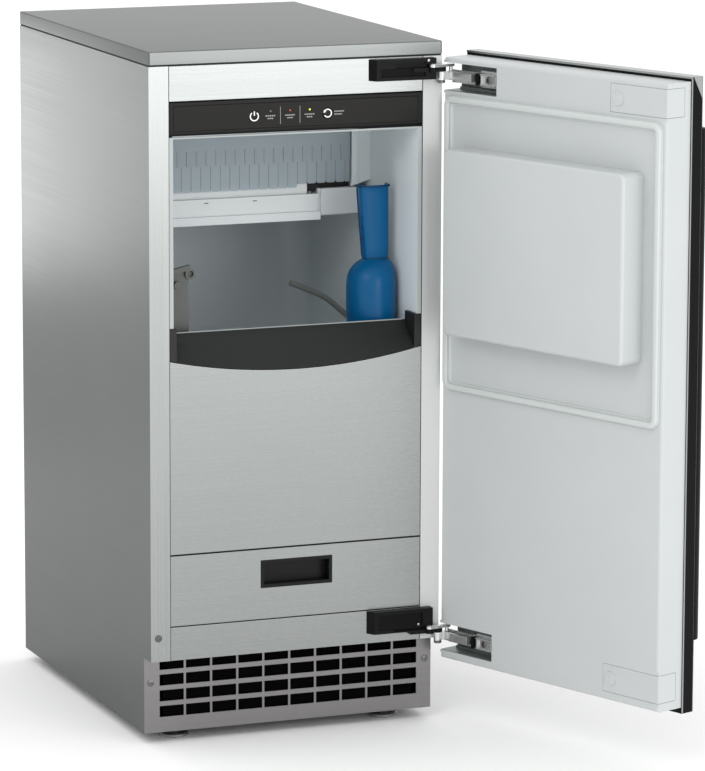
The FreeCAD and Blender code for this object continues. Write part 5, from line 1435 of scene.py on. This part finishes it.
@dataclass
class IceMachine(Assembly):
    """What makes the ice in the top of the bin, behind the strip curtain; sizes in millimetres."""

    strips: int = 22
    layer: float = 1.2
    plate_top: float = 775.0
    plate: float = 3.0
    cup_radius: float = 13.0
    cup_height: float = 22.0
    slide_front: float = 697.0
    rod_y: float = -92.5
    rod_z: float = 752.0
    slit_top: float = 710.5
    front_low: float = 691.0

    def build(self) -> None:
        """Builds the ice machine."""
        self.evaporator()
        self.keep(COPPER, "evaporator_coil", "refrigerant_lines")
        self.keep(HOSE, "water_hoses")
        self.soften("spray_manifold", SUMP_WHITE, 0.3)
        self.soften("water_sump", SUMP_WHITE, 0.9)
        self.soften("curtain_frame", BIN_WHITE, 0.9)
        self.soften("water_pump", PUMP, 0.6)
        self.slide()
        self.apron()
        self.curtain()

    def evaporator(self) -> None:
        """Tinned cups under their plate, and the four posts."""
        low, high = self.span("evaporator")
        columns, rows, top = 6, 4, self.plate_top
        step_x, step_y = (high.x - low.x) / columns, (high.y - low.y) / rows
        centre = Vector(((low.x + high.x) / 2, (low.y + high.y) / 2, top - self.plate - self.cup_height / 2))
        sizes = {
            "Columns": columns, "Rows": rows,
            "Span X": step_x * (columns - 1) * MM, "Span Y": step_y * (rows - 1) * MM,
            "Radius": self.cup_radius * MM, "Wall": 1 * MM,
            "Height": self.cup_height * MM, "Centre": centre * MM,
        }
        cups = grid_of_cups(COPPER).grow("evaporator_cups", sizes)
        plate = slab((low.x, high.x), (low.y, high.y), (top - self.plate, top))
        posts = [turned([(4, 0), (4, high.z - top)], (px, py, top))
                 for px in (low.x + 6, high.x - 6) for py in (low.y + 6, high.y - 6)]
        body = mesh_piece("evaporator_plate", *several([plate] + posts), COPPER)
        self.fit(bevelled(body, 0.4), "evaporator")
        self.fit(cups, like="evaporator")

    def slide(self) -> None:
        """The sloping grid that the ice slides down: repeated bars on two rods."""
        low, high = self.span("ice_slide")
        z0, z1 = self.slide_front, high.z
        count, wide, tall = 12, 3, 6
        side = [(low.y, z0), (low.y, z0 - tall), (high.y, z1 - tall), (high.y, z1)]
        seed = seed_mesh("slide_bar", *loft([[(x, y, z) for y, z in side] for x in (0, wide)]))
        step = (high.x - low.x - wide) / (count - 1)
        sizes = {"Count": count, "Step": (step * MM, 0.0, 0.0), "Start": (low.x * MM, 0.0, 0.0)}
        bars = row_of_copies(SUMP_WHITE).grow("ice_slide_bars", sizes, seed=seed)
        ends = ((low.y + 4, z0 - 2), (high.y - 2.5, z1 - 4))
        rods = [turned([(2.5, 0), (2.5, high.x - low.x)], (low.x, y, z), (1, 0, 0), 20) for y, z in ends]
        rods += [turned([(2.5, 0), (2.5, z - low.z)], (x, y, low.z), count=20)
                 for x in (low.x + 1.5, high.x - 1.5) for y, z in ends]
        self.fit(bevelled(bars, 0.5), "ice_slide")
        self.fit(mesh_piece("ice_slide_rods", *several(rods), SUMP_WHITE), like="ice_slide")

    def apron(self) -> None:
        """A splash lip inside the tray's front wall, a plain cover on its end, and black pieces of painted
        shade: a sheet in the slot behind the curtain and marks in the rim's notches.
        """
        low, high = self.span("water_sump")
        front = low.y
        lean = ((6.1, 640), (7.6, 640), (8.6, 663), (7.1, 663))
        lip = loft([[(x, front + d, z) for d, z in lean] for x in (low.x + 28, 76.0)])
        self.fit(bevelled(mesh_piece("tray_splash_lip", *lip, SUMP_WHITE), 0.5), like="water_sump")
        cover = slab((93.0, high.x - 1.5), (front + 3.4, front + 5.9), (low.z + 5, high.z))
        self.fit(bevelled(mesh_piece("tray_end_cover", *cover, SUMP_WHITE), 1.2, 3), like="water_sump")
        deep, tall = (front + 0.75, front + 1.4), (low.z + 27.2, low.z + 28.1)
        notch_shades = [slab((x, x + 5), deep, tall) for x in (-146.0, -62.0, 2.0)]
        slot_shade = slab((64.0, 133.0), (front + 11.0, front + 12.0), (652.0, 669.0))
        dark = mesh_piece("tray_slot_and_notch_shades", *several(notch_shades + [slot_shade]), SEAL_BLACK_AND_SHADE)
        self.fit(dark, like="water_sump")

    def curtain(self) -> None:
        """The strip curtain: a sheet looped over its rod and two rows of strips."""
        low, high = self.span("ice_curtain")
        wide, half, slit_top = high.x - low.x, self.layer / 2, self.slit_top
        loop_r = 3.05 + half
        turns = [math.radians(a) for a in range(-60, 181, 15)]
        line = [(self.rod_y + loop_r * math.cos(a), self.rod_z + loop_r * math.sin(a)) for a in turns]
        line += [(self.rod_y - loop_r, z) for z in (745.0, 735.0, 722.0, slit_top)]
        rings = []
        for i, (y, z) in enumerate(line):
            a, b = line[max(i - 1, 0)], line[min(i + 1, len(line) - 1)]
            run = Vector((b[0] - a[0], b[1] - a[1])).normalized() * half
            rings.append([(low.x, y - run.y, z + run.x), (low.x, y + run.y, z - run.x),
                          (high.x, y + run.y, z - run.x), (high.x, y - run.y, z + run.x)])
        sheet = mesh_piece("curtain_sheet", *loft(rings), CURTAIN)
        deep = (low.y + self.layer, low.y + 2 * self.layer)
        backing = slab((low.x, high.x), deep, (slit_top, self.rod_z - 5.0))
        lining = mesh_piece("curtain_backing", *backing, CURTAIN)
        self.fit(bevelled(sheet, 0.25), "ice_curtain")
        self.fit(bevelled(lining, 0.25), like="ice_curtain")
        pitch = wide / self.strips
        front_y, rear_y = low.y + self.layer + 0.05, low.y + 2 * self.layer + 0.05
        short = low.z + 4.5
        # each row: name, strips, where it starts and its width in pitches, its foot, its back face
        rows = (("curtain_front_strips", self.strips, 0.5, 1.0, self.front_low, front_y),
                ("curtain_rear_strips", self.strips - 6, 1.0, 1.0, low.z, rear_y),
                ("curtain_short_strips", 5, self.strips - 5.0, 1.0, short, rear_y),
                ("curtain_first_strip", 1, 0.25, 0.5, low.z, rear_y),
                ("curtain_last_strip", 1, self.strips - 0.25, 0.5, short, rear_y))
        for name, count, first, share, foot, back in rows:
            length = slit_top - foot + 2
            sizes = {
                "Count": count, "Pitch": pitch * MM, "Width": (pitch * share - 0.45) * MM,
                "Length": length * MM, "Thickness": self.layer * MM,
                "Start": Vector((low.x + first * pitch, back, foot + length / 2)) * MM,
            }
            self.fit(row_of_strips(CURTAIN).grow(name, sizes), like="ice_curtain")


@dataclass
class Door(Assembly):
    """The door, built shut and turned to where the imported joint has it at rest; sizes in millimetres."""

    handle_radius: float = 11.0
    post_radius: float = 8.0
    post_inset: float = 62.0
    gasket_share: float = 0.5  # the bellows is drawn half as tall as its node, pressed by use
    cap_along: float = 78.4
    inner_face: float = -264.5
    hinge_edge: float = 187.5

    def leaf(self, along: Pair, deep: Pair,
             high: Pair) -> Shape:
        """A block placed on the shut door, measured from its hinge edge and its inner face.

        Args:
            along: Nearest and farthest distance from the hinge edge.
            deep: Shallowest and deepest distance behind the inner face.
            high: Lowest and highest height.

        Returns:
            The points and the faces.
        """
        return slab((self.hinge_edge - along[1], self.hinge_edge - along[0]),
                    (self.inner_face - deep[1], self.inner_face - deep[0]), high)

    def opened(self) -> Matrix:
        """The turn, in millimetres, from shut to the rest pose."""
        pivot, travel = self.swing()
        turn = Matrix.Rotation(math.radians(travel), 4, "Z")
        return Matrix.Translation(pivot) @ turn @ Matrix.Translation(-pivot)

    def swing(self) -> tuple[Vector, float]:
        """The hinge's place in millimetres and the angle from shut to rest in degrees."""
        joint = next(j for j in self.frame["joints"] if j["name"] == "door_swing")
        return Vector(joint["pos_m"]) / MM, -joint["range_deg"][0]

    def shut_span(self, node: str) -> tuple[Vector, Vector]:
        """A door node's corners in millimetres with the door shut."""
        back = self.opened().inverted()
        points = [back @ (v.co / MM) for v in self.frame["nodes"][node].data.vertices]
        low = Vector([min(p[i] for p in points) for i in range(3)])
        high = Vector([max(p[i] for p in points) for i in range(3)])
        return low, high

    def piece(self, name: str, shape: Shape, finish: Finish,
              smooth_deg: float = 35.0) -> Piece:
        """A piece built with the door shut, then turned to the rest pose."""
        return mesh_piece(name, *shape, finish, self.opened(), smooth_deg)

    def build(self) -> None:
        """Builds the door."""
        self.soften("door_liner", DOOR_WHITE, 1.0, 2)
        # The edge frame and the skin's free edge in black: painted shade on the door's steel edge.
        self.soften("door_edge_frame", BLACK_AND_PAINTED_SHADE, 0.8, 2)
        free_side = self.opened().to_3x3() @ Vector((-1, 0, 0))
        self.face(self.soften("door_skin", STEEL_UP, 0.4), BLACK_AND_PAINTED_SHADE, tuple(free_side))
        self.soften("pocket_covers", DOOR_WHITE, 0.6)
        self.keep(FOAM, "door_foam")
        self.gasket()
        self.handle()
        self.caps()
        self.top_cap()

    def gasket(self) -> None:
        """The magnetic gasket: a soft bellows with a rounded head, all round."""
        low, high = self.shut_span("door_gasket")
        tall = (high.y - low.y) * self.gasket_share
        profile = [(1.6, 0.0), (1.6, 1.2), (2.6, 1.8), (2.2, 2.6), (2.2, tall - 1.6), (2.8, tall - 0.4),
                   (3.8, tall), (8.4, tall), (9.6, tall - 0.5), (10.2, tall - 1.8), (10.0, 2.8), (9.6, 2.0),
                   (12.4, 1.4), (13.0, 0.0)]
        shape = rounded_frame(profile, (low.x, high.x), (low.z, high.z), low.y, 14.5)
        self.fit(self.piece("gasket_bellows", shape, GASKET, 50), "door_gasket")

    def handle(self) -> None:
        """A round bar handle with end caps, on two posts with collars."""
        low, high = self.shut_span("door_handle")
        x = low.x + self.handle_radius
        y = low.y + self.handle_radius
        r, p, tall, reach = self.handle_radius, self.post_radius, high.z - low.z, high.y - y
        end = [(r - 1.6, 0), (r - 0.4, 0.5), (r, 1.6)]
        parts = [turned(end + [(w, tall - d) for w, d in reversed(end)], (x, y, low.z), count=48)]
        collar = [(p, 0), (p, reach - 3.5), (p + 2.2, reach - 3.0), (p + 2.6, reach - 1.4), (p + 2.6, reach)]
        for z in (low.z + self.post_inset, high.z - self.post_inset):
            parts.append(turned(collar, (x, y, z), (0, 1, 0), 36))
        self.fit(self.piece("handle_bar", several(parts), HANDLE_BLACK), "door_handle")

    def caps(self) -> None:
        """A ringed cap on each blank cover."""
        low, high = self.shut_span("pocket_covers")
        ring = [(8.5, 0), (8.5, 1.0), (7.9, 1.5), (7.1, 1.5), (6.7, 1.0), (6.5, 0.5), (6.3, 0.5)]
        button = [(5.9, 1.1), (4.0, 1.5), (0.1, 1.6)]
        x, y = low.x + self.cap_along, high.y - 1.4
        rings = [turned(ring + button, (x, y, z), (0, 1, 0), 36) for z in (low.z + 17.0, high.z - 17.0)]
        self.fit(self.piece("cover_caps", several(rings), DOOR_WHITE), like="pocket_covers")

    def top_cap(self) -> None:
        """The skin's folded edge over the top of the frame, mitred at the free corner, in the paler steel
        painted light from above.
        """
        low, high = self.shut_span("door_edge_frame")
        x, z = low.x, high.z
        strip_face = slab((x, high.x), (low.y - 0.6, high.y - 1.0), (z, z + 0.5))
        corner = ((low.y, z - 26), (low.y, z), (high.y - 3, z))
        mitre = loft([[(side, b, c) for b, c in corner] for side in (x - 0.35, x + 0.3)])
        edge = slab((x - 0.4, x + 0.4), (high.y - 1.4, high.y + 0.1), (low.z + 1, z - 1))
        lip = slab((x, high.x), (high.y - 1.0, high.y + 0.3), (z - 1.9, z + 0.5))
        fold = self.piece("skin_top_fold", several([strip_face, mitre, edge, lip]), STEEL_FOLD)
        self.fit(fold, like="door_skin")


@dataclass
class Hinges(Door):
    """Brackets, pins, links and the arms in the door's pockets; sizes in millimetres."""

    arm_height: float = 16.0
    pocket_half: float = 17.1
    recess: Pair = (-261.5, -261.0)

    def build(self) -> None:
        """Builds both hinges."""
        for node in ("hinge_bracket_upper", "hinge_bracket_lower"):
            self.soften(node, BRACKET_BLACK, 1.0, 2)
        for node, width in (("hinge_pins", 0.3), ("hinge_links", 0.5), ("hinge_arms", 0.4)):
            self.soften(node, NICKEL, width)
        self.barrels()
        self.recess_shades()
        self.pocket_plates()
        self.carriages()
        self.bracket_screws()

    def centres(self) -> Pair:
        """Heights of the two pockets' middles."""
        low, high = self.span("hinge_arms")
        return low.z + self.arm_height / 2, high.z - self.arm_height / 2

    def barrels(self) -> None:
        """A ringed head over the pivot of each hinge and a rounded one under it."""
        pivot = self.swing()[0]
        over = [(2.6, 11.9), (5.2, 12.0), (5.2, 12.1), (3.4, 12.4), (0.1, 12.5)]
        under = [(0.1, -8.2), (3.2, -8.0), (4.8, -7.0), (4.8, -4.6), (2.4, -4.3)]
        for name, profile in (("pivot_caps", over), ("pivot_heads", under)):
            heads = several([turned(profile, (pivot.x, pivot.y, z)) for z in self.centres()])
            self.fit(mesh_piece(name, *heads, SCREW), like="hinge_pins")

    def recess_shades(self) -> None:
        """Painted shade: a darker floor in each bracket's shallow recess, clear of the slot for the link."""
        for node, under, over in (("hinge_bracket_upper", 4.7, 14.2), ("hinge_bracket_lower", 10.6, 27.3)):
            low = self.span(node)[0]
            plate = slab((low.x + 12.3, low.x + 70.2), self.recess, (low.z + under, low.z + over))
            self.fit(mesh_piece(node + "_recess_shade", *plate, BLACK_AND_PAINTED_SHADE), like=node)

    def pocket_plates(self) -> None:
        """A pressed plate that lines the floor and the back of each pocket."""
        parts = []
        floor = self.pocket_half - 0.5
        for z in self.centres():
            parts.append(self.leaf((1.0, 90.5), (1.2, 29.4), (z - self.pocket_half, z - floor)))
            parts.append(self.leaf((2.0, 90.5), (29.0, 29.6), (z - floor, z + floor)))
            parts.append(self.leaf((8.0, 88.0), (20.0, 21.5), (z - floor, z - floor + 3.2)))
        self.fit(self.piece("pocket_plates", several(parts), ZINC_DEEP), like="hinge_arms")

    def carriages(self) -> None:
        """On each arm's base: a black clip, a bright sliding carriage and its screw."""
        clips = []
        decks = []
        for z in self.centres():
            clips.append(self.leaf((50.0, 56.0), (4.5, 12.5), (z - 7.2, z + 7.2)))
            clips.append(self.leaf((46.8, 50.5), (8.5, 12.5), (z - 4.0, z + 4.0)))
            for side in (-1, 1):
                wall = sorted((z + side * 5.4, z + side * 7.2))
                decks.append(self.leaf((57.5, 82.0), (4.6, 12.6), (wall[0], wall[1])))
            decks.append(self.leaf((60.0, 81.0), (8.6, 9.8), (z - 5.6, z + 5.6)))
            decks.append(self.leaf((57.5, 60.0), (6.0, 12.6), (z - 5.6, z + 5.6)))
        self.fit(bevelled(self.piece("arm_clips", several(clips), BLACK_AND_PAINTED_SHADE), 0.8, 3), like="hinge_arms")
        self.fit(bevelled(self.piece("arm_carriages", several(decks), NICKEL), 0.4, 2), like="hinge_arms")
        opened = self.opened()
        x, y = self.hinge_edge - 70.0, self.inner_face - 8.5
        places = [tuple(opened @ Vector((x, y, z))) for z in self.centres()]
        turn = (0.0, 0.0, math.pi + opened.to_euler().z)
        sizes = {"Head Radius": 4.4 * MM, "Head Height": 2.6 * MM, "Turn": turn}
        self.fit(cross_head_screws(SCREW).grow("arm_screws", sizes, places), like="hinge_arms")

    def bracket_screws(self) -> None:
        """Small fixing screws: at the upper bracket's corner and low on the lower one."""
        upper, top = self.span("hinge_bracket_upper")
        lower = self.span("hinge_bracket_lower")[0]
        places = [(upper.x + 74.5, self.inner_face + 1.2, top.z - 2.6),
                  (lower.x + 66.0, self.inner_face + 3.6, lower.z + 12.0)]
        sizes = {"Head Radius": 1.6 * MM, "Head Height": 1.2 * MM}
        self.fit(cross_head_screws(NICKEL).grow("bracket_screws", sizes, places), like="hinge_pins")


@dataclass
class Machine(Assembly):
    """The refrigeration behind the kick plate; sizes in millimetres."""

    fins: int = 44
    pot_y: float = 162.5
    pot_radius: float = 62.0
    fan_y: float = -131.5
    blades: int = 5
    tube_rows: int = 5

    def build(self) -> None:
        """Builds the machine compartment."""
        self.compressor()
        self.condenser()
        self.fan()
        self.soften("fan_shroud", BLACK, 0.5)
        self.soften("fan_motor", MOTOR, 0.4)
        self.soften("inlet_valve", BRASS, 0.5)
        self.soften("drain_pump", PUMP, 0.8)
        self.soften("cord_gland", BLACK, 0.4)

    def compressor(self) -> None:
        """A welded pot on four grommets, with its terminal cover."""
        low, high = self.span("compressor")
        x, y = (low.x + high.x) / 2, self.pot_y
        foot = low.z + 20
        r, tall = self.pot_radius, high.z - foot
        seam = tall * 0.42
        base = [(40, -2), (48, 0), (58, 6), (r - 2.5, 16)]
        weld = [(r - 2, seam), (r, seam + 1.5), (r, seam + 8), (r - 2, seam + 9.5)]
        dome = [(r - 3, tall - 34), (r - 7, tall - 18), (r - 16, tall - 6), (r - 32, tall - 1), (0.1, tall)]
        pot = turned(base + weld + dome, (x, y, foot), count=56)
        plate = slab((x - 74, x + 74), (y - 48, y + 48), (foot - 6, foot - 2))
        cover = slab((x - 14, x + 14), (y - r - 14, y - r + 8), (70, 110))
        waist = [(9, 0), (9, 3), (7, 4.5), (7, 8), (9, 9.5), (9, 14)]
        grommets = [turned(waist, (x + dx, y + dy, low.z), count=24) for dx in (-64, 64) for dy in (-38, 38)]
        shell = mesh_piece("compressor_pot", *several([pot, plate]), SHELL)
        self.fit(shell, "compressor")
        rubber = mesh_piece("compressor_grommets", *several(grommets + [cover]), SEAL_BLACK_AND_SHADE)
        self.fit(bevelled(rubber, 0.8), like="compressor")

    def condenser(self) -> None:
        """Repeated fins on rows of bent tube."""
        low, high = self.span("condenser")
        x0, x1 = low.x, high.x - 13.5
        fin = slab((0, 0.5), (low.y + 0.5, low.y + 39.5), (low.z + 8.5, high.z - 0.5))
        seed = seed_mesh("condenser_fin", *fin)
        step = (x1 - x0 - 3.5) / (self.fins - 1)
        sizes = {"Count": self.fins, "Step": (step * MM, 0.0, 0.0), "Start": ((x0 + 1.5) * MM, 0.0, 0.0)}
        self.fit(row_of_copies(FIN_SHADE_BLACK).grow("condenser_fins", sizes, seed=seed), "condenser")
        tubes = []
        y, turns = low.y + 20, [math.radians(a) for a in range(0, 181, 15)]
        for row in range(self.tube_rows):
            z = low.z + 23 + row * 30
            bend = [(x1 + 6 * math.sin(a), y - 10 * math.cos(a), z) for a in turns]
            tubes.append(tube([(x0, y - 10, z)] + bend + [(x0, y + 10, z)], 3.4, 14))
        ends = [slab((x, x + 1.0), (low.y, low.y + 40), (low.z, high.z)) for x in (x0, x1 - 1.0)]
        self.fit(mesh_piece("condenser_tubes", *several(tubes + ends), COPPER), like="condenser")

    def fan(self) -> None:
        """Five twisted blades on a domed hub."""
        low, high = self.span("fan_blade")
        c = Vector(((low.x + high.x) / 2, self.fan_y, (low.z + high.z) / 2))
        rings = []
        for k in range(7):
            t = k / 6
            r = 16 + t * 43.0
            chord, tilt = 15 + 21 * t, math.radians(34 - 16 * t)
            ring = []
            for i in range(9):
                s = i / 8 - 0.5
                sweep = s * chord + 7 * t * t
                belly = 2.6 * (1 - 4 * s * s)
                ring.append((sweep * math.cos(tilt), 16.5 + sweep * math.sin(tilt) * 0.8 - belly,
                             math.sqrt(max(r * r - (sweep * math.cos(tilt)) ** 2, 1.0))))
            rings.append(ring)
        seed = seed_mesh("fan_blade_seed", *loft(rings, close=False, caps=False))
        turn = (0.0, math.tau / self.blades, 0.0)
        sizes = {"Count": self.blades, "Step": (0.0, 0.0, 0.0), "Start": c * MM, "Turn Step": turn}
        blades = row_of_copies(BLACK).grow("fan_blades", sizes, seed=seed)
        wall = blades.modifiers.new("wall", "SOLIDIFY")
        wall.thickness = 1.6 * MM
        wall.offset = 0.0
        baked(blades)
        for face in blades.data.polygons:
            face.use_smooth = True
        self.fit(blades, "fan_blade")
        hub = turned([(18, 26), (18, 11), (16.6, 9), (13, 8.1), (0.1, 8)], tuple(c), (0, 1, 0), 40)
        self.fit(mesh_piece("fan_hub", *hub, BLACK), like="fan_blade")


# ---- studio ------------------------------------------------------------------
@dataclass(frozen=True)
class SoftBox:
    """A soft rectangular light, in metres and watts."""

    name: str
    at: Point
    to: Point
    size: Pair
    watts: float

    def hang(self) -> None:
        """Adds the light to the scene."""
        data = bpy.data.lights.new(self.name, "AREA")
        data.shape = "RECTANGLE"
        data.size, data.size_y = self.size
        data.energy = self.watts
        lamp = bpy.data.objects.new(self.name, data)
        bpy.context.scene.collection.objects.link(lamp)
        away = Vector(self.at) - Vector(self.to)
        lamp.matrix_world = Matrix.Translation(self.at) @ away.to_track_quat("Z", "Y").to_matrix().to_4x4()


@dataclass
class Studio:
    """Plain pale floor, soft light and the camera."""

    location: Point = (-2.0037, -5.5047, 1.4727)
    target: Point = (0.0730, -0.2525, 0.4349)
    lens: float = 219.2
    roll_deg: float = 0.19
    surround: float = 1.18
    boxes: tuple[SoftBox, ...] = (
        SoftBox("front_card", (1.15, -3.4, 0.95), (0.0, -0.25, 0.9), (2.0, 1.3), 27),
        SoftBox("rear_left_card", (-0.52, 1.65, 0.5), (-0.19, 0.1, 0.6), (0.4, 0.42), 2.3),
        SoftBox("upper_left_box", (-1.6, -1.9, 2.0), (0.25, -0.4, 0.75), (0.9, 0.9), 9),
    )

    def build(self) -> None:
        """Sets the stage."""
        self.camera()
        self.floor()
        self.lights()

    def camera(self) -> None:
        """A long lens from the front left, a little above the top."""
        data = bpy.data.cameras.new("camera")
        data.lens = self.lens
        data.sensor_width = 36.0
        data.clip_end = 200.0
        eye = bpy.data.objects.new("camera", data)
        bpy.context.scene.collection.objects.link(eye)
        away = Vector(self.location) - Vector(self.target)
        turn = away.to_track_quat("Z", "Y").to_matrix().to_4x4()
        roll = Matrix.Rotation(math.radians(self.roll_deg), 4, "Z")
        eye.matrix_world = Matrix.Translation(self.location) @ turn @ roll
        bpy.context.scene.camera = eye

    def floor(self) -> None:
        """A wide sheet of pale paper."""
        mesh = bpy.data.meshes.new("floor")
        mesh.from_pydata([(-60, -60, 0), (60, -60, 0), (60, 60, 0), (-60, 60, 0)], [], [(0, 1, 2, 3)])
        mesh.materials.append(PAPER.material())
        sheet = bpy.data.objects.new("floor", mesh)
        bpy.context.scene.collection.objects.link(sheet)

    def lights(self) -> None:
        """An even pale surround and three soft boxes."""
        world = bpy.data.worlds.new("surround")
        world.use_nodes = True
        back = world.node_tree.nodes["Background"]
        back.inputs["Color"].default_value = linear("ffffff")
        back.inputs["Strength"].default_value = self.surround
        bpy.context.scene.world = world
        bpy.context.scene.view_settings.view_transform = "Standard"
        for box in self.boxes:
            box.hang()


def main() -> None:
    """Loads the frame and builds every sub-assembly in order."""
    logging.basicConfig(level=logging.INFO, format="%(name)s: %(message)s")
    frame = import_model()
    Studio().build()
    for kind in (Shell, Controls, Bin, IceMachine, Door, Hinges, Machine):
        LOG.info("building %s", kind.__name__)
        kind(frame).build()
    LOG.info("sizes written")


if __name__ == "__main__":
    main()
